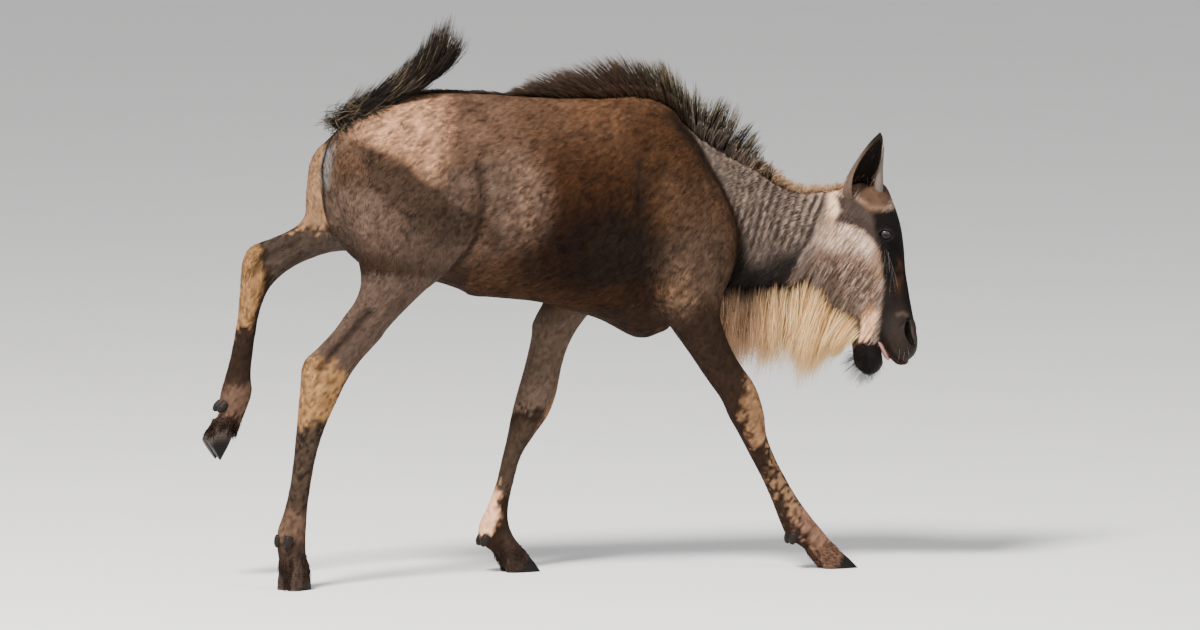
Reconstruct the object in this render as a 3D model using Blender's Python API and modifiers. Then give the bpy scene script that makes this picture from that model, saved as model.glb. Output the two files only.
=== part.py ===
"""Young wildebeest, life size, as a still museum model in a canter stance.

Metres, +Z up. The animal faces +X and its right side is at -Y. It stands on three hooves, with the
left hind leg lifted behind it. The body is modelled whole, as one smooth skin over lofted forms,
and is then parted into its nodes with thin cuts.
"""

import math
import random

import bmesh
import bpy
import numpy as np
from mathutils import Matrix, Vector

# Driving sizes
GAP = 0.0003
BODY_VOXEL = 0.0065
BODY_SMOOTHING = 4
TRUNK_SMOOTHING = 24
BODY_TRIANGLES = 4900
FORM_SIDES = 28
RINGS_BETWEEN = 4

HEAD_CUT = (0.528, 0.670, math.radians(-19))
NECK_CUT = (0.345, 0.705, math.radians(10))

# The neck turns to the animal's right between these two places, by this angle
NECK_TURN_FROM = 0.27
NECK_TURN_TO = 0.50
NECK_TURN = math.radians(-22)

# Each section of a form: the two points of its outline in side view (x, z, x, z), the offset of
# its middle to the left, its half width, its squareness (2 is an ellipse) and its taper towards
# the second point (positive is narrower there).
TORSO = [
    (-0.525, 0.835, -0.520, 0.745, 0.0, 0.020, 2.0, 0.0),
    (-0.505, 0.890, -0.500, 0.690, 0.0, 0.050, 2.0, 0.0),
    (-0.460, 0.928, -0.455, 0.640, 0.0, 0.082, 2.1, 0.0),
    (-0.395, 0.951, -0.395, 0.605, 0.0, 0.104, 2.2, -0.05),
    (-0.294, 0.967, -0.290, 0.592, 0.0, 0.116, 2.2, -0.05),
    (-0.189, 0.963, -0.190, 0.560, 0.0, 0.122, 2.2, -0.08),
    (-0.063, 0.953, -0.063, 0.543, 0.0, 0.128, 2.2, -0.08),
    (0.064, 0.951, 0.064, 0.505, 0.0, 0.124, 2.1, -0.02),
    (0.149, 0.953, 0.149, 0.466, 0.0, 0.112, 2.0, 0.05),
    (0.205, 0.932, 0.215, 0.492, 0.0, 0.102, 2.0, 0.05),
    (0.262, 0.880, 0.275, 0.535, 0.0, 0.090, 2.0, 0.0),
    (0.315, 0.800, 0.325, 0.600, 0.0, 0.060, 2.0, 0.0),
]
NECK = [
    (0.180, 0.945, 0.240, 0.530, 0.0, 0.070, 2.0, -0.15),
    (0.255, 0.890, 0.300, 0.545, 0.0, 0.070, 2.0, -0.10),
    (0.325, 0.850, 0.355, 0.550, 0.0, 0.064, 2.0, -0.08),
    (0.395, 0.810, 0.410, 0.552, 0.0, 0.060, 2.0, -0.08),
    (0.455, 0.772, 0.455, 0.560, 0.0, 0.056, 2.0, -0.05),
    (0.505, 0.760, 0.500, 0.585, 0.0, 0.055, 2.0, -0.05),
    (0.560, 0.762, 0.550, 0.620, 0.0, 0.050, 2.0, -0.05),
]
HEAD = [
    (0.625, 0.783, 0.585, 0.776, 0.0, 0.025, 2.0, 0.0),
    (0.655, 0.770, 0.548, 0.752, 0.0, 0.050, 2.2, 0.0),
    (0.673, 0.730, 0.525, 0.700, 0.0, 0.062, 2.4, 0.10),
    (0.685, 0.692, 0.512, 0.640, 0.0, 0.066, 2.4, 0.12),
    (0.692, 0.650, 0.505, 0.585, 0.0, 0.061, 2.3, 0.05),
    (0.696, 0.600, 0.525, 0.545, 0.0, 0.051, 2.2, 0.02),
    (0.703, 0.556, 0.560, 0.518, 0.0, 0.043, 2.2, 0.0),
    (0.709, 0.520, 0.592, 0.495, 0.0, 0.039, 2.3, 0.0),
    (0.716, 0.485, 0.628, 0.472, 0.0, 0.042, 2.5, 0.0),
    (0.721, 0.455, 0.656, 0.448, 0.0, 0.046, 2.6, 0.0),
    (0.716, 0.430, 0.662, 0.428, 0.0, 0.041, 2.5, 0.0),
    (0.698, 0.413, 0.668, 0.414, 0.0, 0.024, 2.2, 0.0),
]
JAW = [
    (0.610, 0.545, 0.535, 0.535, 0.0, 0.034, 2.0, 0.0),
    (0.628, 0.500, 0.574, 0.492, 0.0, 0.030, 2.0, 0.0),
    (0.640, 0.468, 0.584, 0.458, 0.0, 0.031, 2.2, 0.0),
    (0.650, 0.437, 0.588, 0.428, 0.0, 0.034, 2.3, 0.0),
    (0.651, 0.408, 0.597, 0.402, 0.0, 0.030, 2.2, 0.0),
    (0.638, 0.388, 0.612, 0.387, 0.0, 0.016, 2.0, 0.0),
]
FORE_RIGHT = [
    (0.215, 0.900, 0.130, 0.905, -0.045, 0.030, 2.0, 0.0),
    (0.265, 0.830, 0.120, 0.830, -0.062, 0.046, 2.0, 0.0),
    (0.310, 0.755, 0.122, 0.745, -0.075, 0.052, 2.1, 0.0),
    (0.332, 0.690, 0.128, 0.665, -0.082, 0.052, 2.1, 0.0),
    (0.325, 0.615, 0.135, 0.595, -0.088, 0.048, 2.0, 0.0),
    (0.298, 0.556, 0.152, 0.535, -0.090, 0.043, 2.0, 0.0),
    (0.290, 0.512, 0.187, 0.487, -0.090, 0.038, 2.0, 0.0),
    (0.304, 0.465, 0.222, 0.440, -0.090, 0.034, 2.0, 0.0),
    (0.330, 0.420, 0.256, 0.392, -0.088, 0.031, 2.0, 0.0),
    (0.362, 0.376, 0.291, 0.346, -0.086, 0.031, 2.2, 0.0),
    (0.381, 0.322, 0.308, 0.312, -0.084, 0.031, 2.4, 0.0),
    (0.388, 0.275, 0.330, 0.275, -0.083, 0.027, 2.3, 0.0),
    (0.406, 0.232, 0.358, 0.222, -0.082, 0.022, 2.0, 0.0),
    (0.428, 0.192, 0.382, 0.178, -0.081, 0.020, 2.0, 0.0),
    (0.456, 0.146, 0.405, 0.128, -0.080, 0.022, 2.0, 0.0),
    (0.484, 0.108, 0.423, 0.086, -0.080, 0.027, 2.1, 0.0),
    (0.506, 0.082, 0.438, 0.060, -0.080, 0.028, 2.2, 0.0),
    (0.528, 0.055, 0.470, 0.040, -0.080, 0.026, 2.2, 0.0),
    (0.548, 0.030, 0.492, 0.014, -0.080, 0.026, 2.2, 0.0),
    (0.556, 0.018, 0.500, 0.004, -0.080, 0.020, 2.2, 0.0),
]
FORE_LEFT = [
    (0.205, 0.900, 0.115, 0.905, 0.045, 0.030, 2.0, 0.0),
    (0.240, 0.830, 0.090, 0.830, 0.062, 0.046, 2.0, 0.0),
    (0.262, 0.755, 0.062, 0.745, 0.075, 0.052, 2.1, 0.0),
    (0.255, 0.680, 0.030, 0.660, 0.082, 0.052, 2.1, 0.0),
    (0.205, 0.605, -0.005, 0.590, 0.088, 0.048, 2.0, 0.0),
    (0.118, 0.545, -0.030, 0.540, 0.090, 0.043, 2.0, 0.0),
    (0.060, 0.498, -0.045, 0.492, 0.089, 0.038, 2.0, 0.0),
    (0.028, 0.450, -0.056, 0.446, 0.087, 0.034, 2.0, 0.0),
    (0.012, 0.402, -0.070, 0.398, 0.085, 0.031, 2.0, 0.0),
    (0.001, 0.355, -0.085, 0.350, 0.083, 0.031, 2.2, 0.0),
    (-0.018, 0.312, -0.096, 0.308, 0.081, 0.031, 2.4, 0.0),
    (-0.046, 0.276, -0.105, 0.270, 0.079, 0.027, 2.3, 0.0),
    (-0.076, 0.232, -0.118, 0.226, 0.077, 0.022, 2.0, 0.0),
    (-0.092, 0.182, -0.131, 0.178, 0.075, 0.020, 2.0, 0.0),
    (-0.104, 0.135, -0.150, 0.132, 0.073, 0.022, 2.0, 0.0),
    (-0.105, 0.100, -0.169, 0.092, 0.072, 0.027, 2.1, 0.0),
    (-0.092, 0.068, -0.166, 0.060, 0.071, 0.028, 2.2, 0.0),
    (-0.075, 0.048, -0.140, 0.040, 0.070, 0.026, 2.2, 0.0),
    (-0.062, 0.026, -0.124, 0.016, 0.070, 0.026, 2.2, 0.0),
    (-0.058, 0.014, -0.118, 0.004, 0.070, 0.020, 2.2, 0.0),
]
HIND_RIGHT = [
    (-0.275, 0.900, -0.455, 0.915, -0.050, 0.040, 2.0, 0.0),
    (-0.240, 0.835, -0.505, 0.845, -0.068, 0.058, 2.1, 0.0),
    (-0.232, 0.755, -0.518, 0.768, -0.076, 0.063, 2.1, 0.0),
    (-0.245, 0.685, -0.496, 0.705, -0.082, 0.062, 2.1, 0.0),
    (-0.280, 0.625, -0.480, 0.645, -0.088, 0.055, 2.0, 0.0),
    (-0.340, 0.580, -0.476, 0.598, -0.092, 0.046, 2.0, 0.0),
    (-0.392, 0.533, -0.502, 0.552, -0.095, 0.038, 2.0, 0.0),
    (-0.444, 0.481, -0.533, 0.512, -0.097, 0.032, 2.0, 0.0),
    (-0.480, 0.444, -0.568, 0.478, -0.098, 0.027, 2.1, 0.0),
    (-0.505, 0.410, -0.597, 0.450, -0.099, 0.027, 2.3, 0.0),
    (-0.526, 0.372, -0.604, 0.395, -0.100, 0.028, 2.3, 0.0),
    (-0.550, 0.323, -0.610, 0.330, -0.100, 0.026, 2.2, 0.0),
    (-0.568, 0.268, -0.617, 0.268, -0.100, 0.022, 2.0, 0.0),
    (-0.580, 0.209, -0.625, 0.209, -0.100, 0.021, 2.0, 0.0),
    (-0.588, 0.155, -0.638, 0.155, -0.100, 0.023, 2.0, 0.0),
    (-0.591, 0.118, -0.652, 0.115, -0.100, 0.028, 2.1, 0.0),
    (-0.592, 0.088, -0.652, 0.082, -0.100, 0.028, 2.2, 0.0),
    (-0.590, 0.060, -0.648, 0.058, -0.100, 0.026, 2.2, 0.0),
    (-0.583, 0.040, -0.646, 0.040, -0.100, 0.026, 2.2, 0.0),
    (-0.583, 0.028, -0.636, 0.028, -0.100, 0.020, 2.2, 0.0),
]
HIND_LEFT = [
    (-0.285, 0.900, -0.460, 0.915, 0.050, 0.040, 2.0, 0.0),
    (-0.262, 0.835, -0.518, 0.850, 0.068, 0.057, 2.1, 0.0),
    (-0.275, 0.755, -0.530, 0.790, 0.076, 0.060, 2.1, 0.0),
    (-0.325, 0.690, -0.530, 0.750, 0.082, 0.056, 2.1, 0.0),
    (-0.400, 0.655, -0.530, 0.728, 0.086, 0.047, 2.0, 0.0),
    (-0.465, 0.648, -0.545, 0.710, 0.088, 0.038, 2.0, 0.0),
    (-0.520, 0.636, -0.566, 0.698, 0.089, 0.032, 2.0, 0.0),
    (-0.565, 0.614, -0.603, 0.684, 0.090, 0.028, 2.1, 0.0),
    (-0.592, 0.592, -0.642, 0.670, 0.090, 0.027, 2.3, 0.0),
    (-0.608, 0.572, -0.660, 0.640, 0.090, 0.028, 2.3, 0.0),
    (-0.622, 0.538, -0.666, 0.580, 0.090, 0.026, 2.2, 0.0),
    (-0.630, 0.500, -0.672, 0.520, 0.090, 0.022, 2.0, 0.0),
    (-0.638, 0.448, -0.684, 0.456, 0.090, 0.021, 2.0, 0.0),
    (-0.641, 0.408, -0.698, 0.406, 0.090, 0.023, 2.0, 0.0),
    (-0.639, 0.378, -0.708, 0.370, 0.090, 0.028, 2.1, 0.0),
    (-0.650, 0.348, -0.708, 0.340, 0.090, 0.028, 2.2, 0.0),
    (-0.662, 0.318, -0.718, 0.322, 0.090, 0.026, 2.2, 0.0),
    (-0.670, 0.300, -0.728, 0.308, 0.090, 0.026, 2.2, 0.0),
    (-0.676, 0.290, -0.724, 0.296, 0.090, 0.020, 2.2, 0.0),
]

# Each leg: its sections, the side it is on, and for its three cuts the place (x, z) and the heading.
# Then, in side view, the coronet's front and rear, the toe and the heel, and the dewclaws' place.
LEGS = {
    "fore_right": {
        "form": FORE_RIGHT,
        "cuts": [(0.240, 0.505, -70), (0.357, 0.285, -64), (0.436, 0.126, -54)],
        "upper": "forearm",
        "hoof": [(0.541, 0.044), (0.486, 0.028), (0.583, 0.0), (0.506, 0.0)],
        "dewclaw": (0.443, 0.064, -110),
        "middle": -0.080,
        "toe_in": 0,
    },
    "fore_left": {
        "form": FORE_LEFT,
        "cuts": [(0.018, 0.520, -100), (-0.065, 0.285, -115), (-0.129, 0.124, -94)],
        "upper": "forearm",
        "hoof": [(-0.068, 0.042), (-0.127, 0.030), (-0.041, 0.0), (-0.117, 0.0)],
        "dewclaw": (-0.160, 0.066, -120),
        "middle": 0.070,
        "toe_in": 0,
    },
    "hind_right": {
        "form": HIND_RIGHT,
        "cuts": [(-0.395, 0.600, -131), (-0.578, 0.345, -101), (-0.615, 0.137, -94)],
        "upper": "shank",
        "hoof": [(-0.587, 0.052), (-0.645, 0.046), (-0.584, 0.0), (-0.645, 0.0)],
        "dewclaw": (-0.646, 0.098, -110),
        "middle": -0.100,
        "toe_in": 25,
    },
    "hind_left": {
        "form": HIND_LEFT,
        "cuts": [(-0.470, 0.690, -155), (-0.646, 0.545, -102), (-0.672, 0.392, -98)],
        "upper": "shank",
        "hoof": [(-0.672, 0.306), (-0.730, 0.314), (-0.711, 0.243), (-0.739, 0.286)],
        "dewclaw": (-0.706, 0.350, -140),
        "middle": 0.090,
        "toe_in": 0,
    },
}
LEG_INNER_SIDE = 0.047
CLAW_SPREAD = 0.0140
CLAW_HALF_WIDTH = 0.0125
# Down one claw: the share of the way to its sole, the squareness and the share of its half width
CLAW_STEPS = [(-0.35, 2.0, 0.78), (0.0, 2.2, 0.92), (0.5, 2.3, 1.0), (0.93, 2.4, 1.02), (1.0, 2.4, 0.98)]
DEWCLAW_LENGTH = 0.024

# Places on the head, in side view and to the left of its middle, before the neck turns
EYE = (0.6555, 0.0475, 0.674)
EYE_RADIUS = 0.0145
EAR_BASE = (0.589, 0.046, 0.742)
EAR_TIP = (0.643, 0.084, 0.877)
EAR_OPENS_TO = (0.55, 0.80, 0.0)
EAR_WALL = 0.0032
HORN_BASE = (0.640, 0.031, 0.752)
HORN_TIP = (0.649, 0.042, 0.848)
NOSTRIL = (0.701, 0.034, 0.463)
MOUTH_CORNER = (0.645, 0.458)
MOUTH_OPENS_AT = (0.662, 0.392)

# Hair along the crest: where its root is (x, z), how long it is and where it points, in degrees
MANE = [
    (-0.085, 0.950, 0.044, 152),
    (-0.010, 0.948, 0.090, 144),
    (0.064, 0.946, 0.108, 134),
    (0.128, 0.946, 0.112, 122),
    (0.185, 0.932, 0.112, 111),
    (0.225, 0.906, 0.122, 103),
    (0.262, 0.876, 0.122, 95),
    (0.300, 0.856, 0.116, 86),
    (0.345, 0.831, 0.092, 76),
    (0.395, 0.803, 0.046, 66),
    (0.445, 0.773, 0.028, 60),
    (0.505, 0.757, 0.024, 90),
    (0.580, 0.766, 0.024, 110),
]
MANE_LOCKS = 17
# Hair below the throat: its root (x, z), its length and where it points
BEARD = [
    (0.325, 0.560, 0.145, -80),
    (0.390, 0.556, 0.150, -84),
    (0.450, 0.562, 0.158, -88),
    (0.500, 0.570, 0.182, -92),
    (0.540, 0.540, 0.142, -96),
    (0.575, 0.512, 0.086, -100),
    (0.600, 0.498, 0.050, -100),
]
BEARD_LOCKS = 9
CHIN_LOCKS = 12
# The tail's dock, from its root over the croup to its tip
DOCK = [
    (-0.485, 0.000, 0.905),
    (-0.470, -0.004, 0.940),
    (-0.425, -0.010, 0.964),
    (-0.375, -0.016, 0.987),
    (-0.330, -0.018, 1.014),
    (-0.294, -0.018, 1.042),
]
TAIL_LOCKS = 12
COLOURS = {
    "trunk": (0.150, 0.085, 0.050),
    "neck": (0.160, 0.125, 0.100),
    "face": (0.100, 0.080, 0.065),
    "leg": (0.190, 0.125, 0.075),
    "black_hair": (0.018, 0.014, 0.011),
    "pale_hair": (0.520, 0.390, 0.220),
    "horn": (0.300, 0.270, 0.230),
    "hoof": (0.030, 0.027, 0.025),
    "eye": (0.012, 0.010, 0.012),
    "tongue": (0.480, 0.200, 0.190),
}


def clear_scene():
    for thing in list(bpy.data.objects):
        bpy.data.objects.remove(thing)


def smooth_step(share):
    share = min(max(share, 0.0), 1.0)
    return share * share * (3 - 2 * share)


def turned(point):
    """The place of a point of the straight animal once the neck is turned to the side."""
    reach = NECK_TURN_TO - NECK_TURN_FROM
    steps = 24
    share = min(max((point[0] - NECK_TURN_FROM) / reach, 0.0), 1.0)
    x, y = min(point[0], NECK_TURN_FROM), 0.0
    for i in range(steps):
        angle = NECK_TURN * smooth_step(share * (i + 0.5) / steps)
        x += math.cos(angle) * share * reach / steps
        y += math.sin(angle) * share * reach / steps
    angle = NECK_TURN * smooth_step(share)
    beyond = max(point[0] - NECK_TURN_TO, 0.0)
    x += math.cos(angle) * beyond - math.sin(angle) * point[1]
    y += math.sin(angle) * beyond + math.cos(angle) * point[1]
    return Vector((x, y, point[2]))


def neck_frame(x):
    """The move that the neck's turn gives to what stands at this x on the straight animal."""
    angle = NECK_TURN * smooth_step((x - NECK_TURN_FROM) / (NECK_TURN_TO - NECK_TURN_FROM))
    there = Matrix.Translation(turned((x, 0, 0)))
    return there @ Matrix.Rotation(angle, 4, "Z") @ Matrix.Translation((-x, 0, 0))


def through(rows, between):
    """Rows of numbers with smooth steps put between them, by a Catmull-Rom curve."""
    rows = np.array(rows, float)
    padded = np.vstack([2 * rows[0] - rows[1], rows, 2 * rows[-1] - rows[-2]])
    out = []
    for i in range(len(rows) - 1):
        a, b, c, d = padded[i : i + 4]
        for t in np.arange(between) / between:
            straight = 2 * b + (c - a) * t
            out.append((straight + (2 * a - 5 * b + 4 * c - d) * t**2 + (3 * b - a - 3 * c + d) * t**3) / 2)
    out.append(rows[-1])
    return out


def along(rows, share):
    """The row at this share of the way through rows of numbers."""
    place = share * (len(rows) - 1)
    i = min(int(place), len(rows) - 2)
    a, b = np.array(rows[i], float), np.array(rows[i + 1], float)
    return a + (b - a) * (place - i)


def finished(mesh, name):
    data = bpy.data.meshes.new(name)
    mesh.to_mesh(data)
    mesh.free()
    thing = bpy.data.objects.new(name, data)
    bpy.context.scene.collection.objects.link(thing)
    return thing


def baked(thing, name):
    """Puts the evaluated mesh of an object in its place, under this name."""
    graph = bpy.context.evaluated_depsgraph_get()
    data = bpy.data.meshes.new_from_object(thing.evaluated_get(graph))
    data.transform(thing.matrix_world)
    bpy.data.objects.remove(thing)
    whole = bpy.data.objects.new(name, data)
    bpy.context.scene.collection.objects.link(whole)
    return whole


def rings_of(mesh, sides, count):
    """A grid of vertices to be rolled into a tube: count rings with their seam vertex doubled."""
    grid = bmesh.ops.create_grid(mesh, x_segments=sides, y_segments=count - 1, size=1)
    rows = sorted(grid["verts"], key=lambda v: (round(v.co.y, 5), v.co.x))
    return [rows[i * (sides + 1) : (i + 1) * (sides + 1)] for i in range(count)]


def closed(mesh, name):
    """Joins a rolled grid at its seam and closes its ends."""
    bmesh.ops.remove_doubles(mesh, verts=mesh.verts, dist=1e-6)
    bmesh.ops.holes_fill(mesh, edges=[e for e in mesh.edges if e.is_boundary], sides=0)
    bmesh.ops.recalc_face_normals(mesh, faces=mesh.faces)
    return finished(mesh, name)


def loft(name, sections, sides=FORM_SIDES, between=RINGS_BETWEEN, bend=True):
    """A closed form through sections given by their outline points, offset and half width."""
    mesh = bmesh.new()
    sections = through(sections, between)
    for ring, section in zip(rings_of(mesh, sides, len(sections)), sections):
        x1, z1, x2, z2, y, half_width, square, taper = section
        middle = Vector(((x1 + x2) / 2, y, (z1 + z2) / 2))
        half = Vector(((x1 - x2) / 2, 0, (z1 - z2) / 2))
        for j, vert in enumerate(ring):
            turn = 2 * math.pi * (j % sides) / sides
            lengthwise = math.copysign(abs(math.cos(turn)) ** (2 / square), math.cos(turn))
            across = math.copysign(abs(math.sin(turn)) ** (2 / square), math.sin(turn))
            across *= half_width * (1 + taper * lengthwise)
            point = middle + half * lengthwise + Vector((0, across, 0))
            vert.co = turned(point) if bend else point
    return closed(mesh, name)


def strand(name, path, widths, depths, side, sides=4):
    """A closed form along a path, as wide along side and as deep across it as its lists say."""
    mesh = bmesh.new()
    last = len(path) - 1
    for i, ring in enumerate(rings_of(mesh, sides, len(path))):
        ahead = (path[min(i + 1, last)] - path[max(i - 1, 0)]).normalized()
        wide = (side - ahead * side.dot(ahead)).normalized()
        deep = ahead.cross(wide)
        for j, vert in enumerate(ring):
            turn = 2 * math.pi * (j % sides) / sides
            vert.co = path[i] + wide * (math.cos(turn) * widths[i]) + deep * (math.sin(turn) * depths[i])
    return closed(mesh, name)


def lock(name, root, heading, length, half_width, half_depth, side, bend, steps=3):
    """A flat tapering lock of hair that leaves its root along heading and bends on its way."""
    shares = [-0.008 / length] + [k / steps for k in range(1, steps + 1)]
    path = [root + heading * (length * t) + bend * (length * t * abs(t)) for t in shares]
    fullness = [0.85] + [1 - t**3 for t in shares[1:]]
    widths = [half_width * f for f in fullness]
    depths = [half_depth * f for f in fullness]
    return strand(name, path, widths, depths, side)


def ball(name, centre, radii, segments=14, rings=9):
    mesh = bmesh.new()
    bmesh.ops.create_uvsphere(mesh, u_segments=segments, v_segments=rings, radius=1)
    bmesh.ops.scale(mesh, verts=mesh.verts, vec=Vector(radii))
    bmesh.ops.translate(mesh, verts=mesh.verts, vec=Vector(centre))
    return finished(mesh, name)


def moved(thing, matrix):
    thing.data.transform(matrix)
    return thing


def grown(thing, by=GAP):
    """A copy of a closed form with its surface moved out."""
    mesh = bmesh.new()
    mesh.from_mesh(thing.data)
    mesh.normal_update()
    for vert in mesh.verts:
        vert.co += vert.normal * (by * vert.calc_shell_factor())
    return finished(mesh, thing.name + "_room")


def combined(thing, other, operation, keep_other=False):
    """The Boolean of two closed forms, in the first one's place."""
    step = thing.modifiers.new("combine", "BOOLEAN")
    step.operation = operation
    step.solver = "MANIFOLD"
    step.object = other
    whole = baked(thing, thing.name)
    if not keep_other:
        bpy.data.objects.remove(other)
    return whole


def fused(name, core, locks):
    """The core with all its locks in one closed body."""
    pile = bpy.data.collections.new(name + "_locks")
    bpy.context.scene.collection.children.link(pile)
    for one in locks:
        bpy.context.scene.collection.objects.unlink(one)
        pile.objects.link(one)
    step = core.modifiers.new("fuse", "BOOLEAN")
    step.operation = "UNION"
    step.solver = "MANIFOLD"
    step.operand_type = "COLLECTION"
    step.collection = pile
    whole = baked(core, name)
    for one in list(pile.objects):
        bpy.data.objects.remove(one)
    bpy.data.collections.remove(pile)
    return whole


def keep_largest(thing):
    """Drops every closed surface of a form but the one with the most vertices."""
    mesh = bmesh.new()
    mesh.from_mesh(thing.data)
    left = set(mesh.verts)
    surfaces = []
    while left:
        front = [left.pop()]
        surface = list(front)
        while front:
            for edge in front.pop().link_edges:
                for vert in edge.verts:
                    if vert in left:
                        left.discard(vert)
                        front.append(vert)
                        surface.append(vert)
        surfaces.append(surface)
    surfaces.sort(key=len)
    for surface in surfaces[:-1]:
        bmesh.ops.delete(mesh, geom=surface, context="VERTS")
    mesh.to_mesh(thing.data)
    mesh.free()
    return thing


def joined(things, name):
    """One object that holds the meshes of these, still as separate shells."""
    mesh = bmesh.new()
    for thing in things:
        mesh.from_mesh(thing.data)
        bpy.data.objects.remove(thing)
    return finished(mesh, name)


def cut_box(place, heading, sizes, right, left, room, frame=None):
    """A box that starts at a place in side view and runs along heading, grown by room."""
    length, height = sizes
    mesh = bmesh.new()
    bmesh.ops.create_cube(mesh, size=1)
    reach = Matrix.Diagonal((length + room, left - right + 2 * room, height + 2 * room, 1))
    middle = Matrix.Translation(((length - room) / 2, 0, 0))
    there = Matrix.Translation((place[0], (left + right) / 2, place[1]))
    move = there @ Matrix.Rotation(-heading, 4, "Y") @ middle @ reach
    bmesh.ops.transform(mesh, matrix=(frame or Matrix()) @ move, verts=mesh.verts)
    return finished(mesh, "cut_box")


def parted(body, name, *box, frame=None):
    """Takes the piece inside the box off the body, and leaves the gap between them."""
    piece = bpy.data.objects.new(name, body.data.copy())
    bpy.context.scene.collection.objects.link(piece)
    piece = combined(piece, cut_box(*box, 0.0, frame=frame), "INTERSECT")
    rest = combined(body, cut_box(*box, GAP, frame=frame), "DIFFERENCE")
    return keep_largest(piece), keep_largest(rest)


def mirrored(point, side):
    return Vector((point[0], side * point[1], point[2]))


def head_masses():
    """Rounded masses of the head, on both sides: cheeks, brows and the mounds below the horns."""
    masses = []
    for side in (1, -1):
        masses.append(ball("cheek", (0.578, side * 0.040, 0.625), (0.046, 0.022, 0.062)))
        masses.append(ball("brow", (0.652, side * 0.046, 0.684), (0.026, 0.013, 0.022)))
        masses.append(ball("horn_mound", (0.634, side * 0.028, 0.754), (0.022, 0.019, 0.024)))
        masses.append(ball("nostril_wing", (0.697, side * 0.032, 0.468), (0.018, 0.014, 0.027)))
    return [moved(mass, neck_frame(NECK_TURN_TO)) for mass in masses]


def trunk_masses():
    masses = [ball("navel", (-0.200, 0, 0.566), (0.022, 0.010, 0.014))]
    for side in (1, -1):
        masses.append(ball("hip", (-0.285, side * 0.066, 0.885), (0.060, 0.038, 0.045)))
    return masses


def whole_body():
    """All flesh in one closed skin: the forms fused by voxels, smoothed, and thinned out."""
    forms = [
        loft("torso_form", TORSO),
        loft("neck_form", NECK),
        loft("head_form", HEAD),
        loft("jaw_form", JAW),
    ]
    forms += [loft(name, leg["form"], bend=False) for name, leg in LEGS.items()]
    body = joined(forms + head_masses() + trunk_masses(), "body")
    remesh = body.modifiers.new("fuse", "REMESH")
    remesh.mode = "VOXEL"
    remesh.voxel_size = BODY_VOXEL
    body = baked(body, "body")
    mesh = bmesh.new()
    mesh.from_mesh(body.data)
    trunk = [v for v in mesh.verts if v.co.z > 0.50 and -0.50 < v.co.x < 0.36]
    every = {"use_axis_x": True, "use_axis_y": True, "use_axis_z": True}
    for i in range(TRUNK_SMOOTHING):
        bmesh.ops.smooth_vert(mesh, verts=trunk, factor=0.5, **every)
    for i in range(BODY_SMOOTHING):
        bmesh.ops.smooth_vert(mesh, verts=mesh.verts, factor=0.5, **every)
    mesh.to_mesh(body.data)
    mesh.free()
    thin = body.modifiers.new("fewer", "DECIMATE")
    thin.ratio = BODY_TRIANGLES / (2 * len(body.data.polygons))
    return keep_largest(baked(body, "body"))


def lid_ring(side):
    """A raised rim of eyelid round one eye."""
    mesh = bmesh.new()
    rings, sides, wide, thick = 14, 5, 0.0150, 0.0042
    centre = mirrored(EYE, side) + Vector((0, side * 0.0085, 0))
    for i, ring in enumerate(rings_of(mesh, sides, rings + 1)):
        turn = 2 * math.pi * (i % rings) / rings
        out = Vector((math.cos(turn), 0, 0.80 * math.sin(turn)))
        for j, vert in enumerate(ring):
            roll = 2 * math.pi * (j % sides) / sides
            rise = Vector((0, side * math.sin(roll) * thick, 0))
            vert.co = centre + out * (wide + math.cos(roll) * thick) + rise
    return moved(closed(mesh, "lid"), neck_frame(NECK_TURN_TO))


def mouth_wedge():
    """The gap between the lips: a thin wedge that opens downward."""
    mesh = bmesh.new()
    bmesh.ops.create_cube(mesh, size=1)
    corner, opening = Vector(MOUTH_CORNER), Vector(MOUTH_OPENS_AT)
    for vert in mesh.verts:
        low = vert.co.z < 0
        place = opening if low else corner
        half = 0.0055 if low else 0.0012
        vert.co = Vector((place.x + math.copysign(half, vert.co.x), vert.co.y * 0.12, place.y))
    return moved(finished(mesh, "mouth"), neck_frame(NECK_TURN_TO))


def nostril_hollow(side):
    hollow = ball("nostril", (0, 0, 0), (0.0075, 0.013, 0.0185), 12, 8)
    tilt = Matrix.Rotation(math.radians(12), 4, "Y") @ Matrix.Rotation(side * math.radians(28), 4, "Z")
    moved(hollow, Matrix.Translation(mirrored(NOSTRIL, side)) @ tilt)
    return moved(hollow, neck_frame(NECK_TURN_TO))


def chin_locks(draw):
    """Bristles that hang from the black chin."""
    locks = []
    for i in range(CHIN_LOCKS):
        share = i / (CHIN_LOCKS - 1)
        hang = 0.010 * math.sin(math.pi * share)
        root = Vector((0.596 + 0.044 * share, draw.uniform(-0.014, 0.014), 0.412 - hang))
        heading = Vector((-0.75 + 0.7 * share, root.y * 12, -0.9)).normalized()
        length = draw.uniform(0.024, 0.034)
        bend = Vector((-0.15, 0, -0.1))
        locks.append(lock("bristle", root, heading, length, 0.0062, 0.0030, Vector((1, 0, 0)), bend, 3))
    return [moved(one, neck_frame(NECK_TURN_TO)) for one in locks]


def eye(side):
    name = "eye_left" if side > 0 else "eye_right"
    radii = (EYE_RADIUS,) * 3
    return moved(ball(name, mirrored(EYE, side), radii, 12, 8), neck_frame(NECK_TURN_TO))


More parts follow.
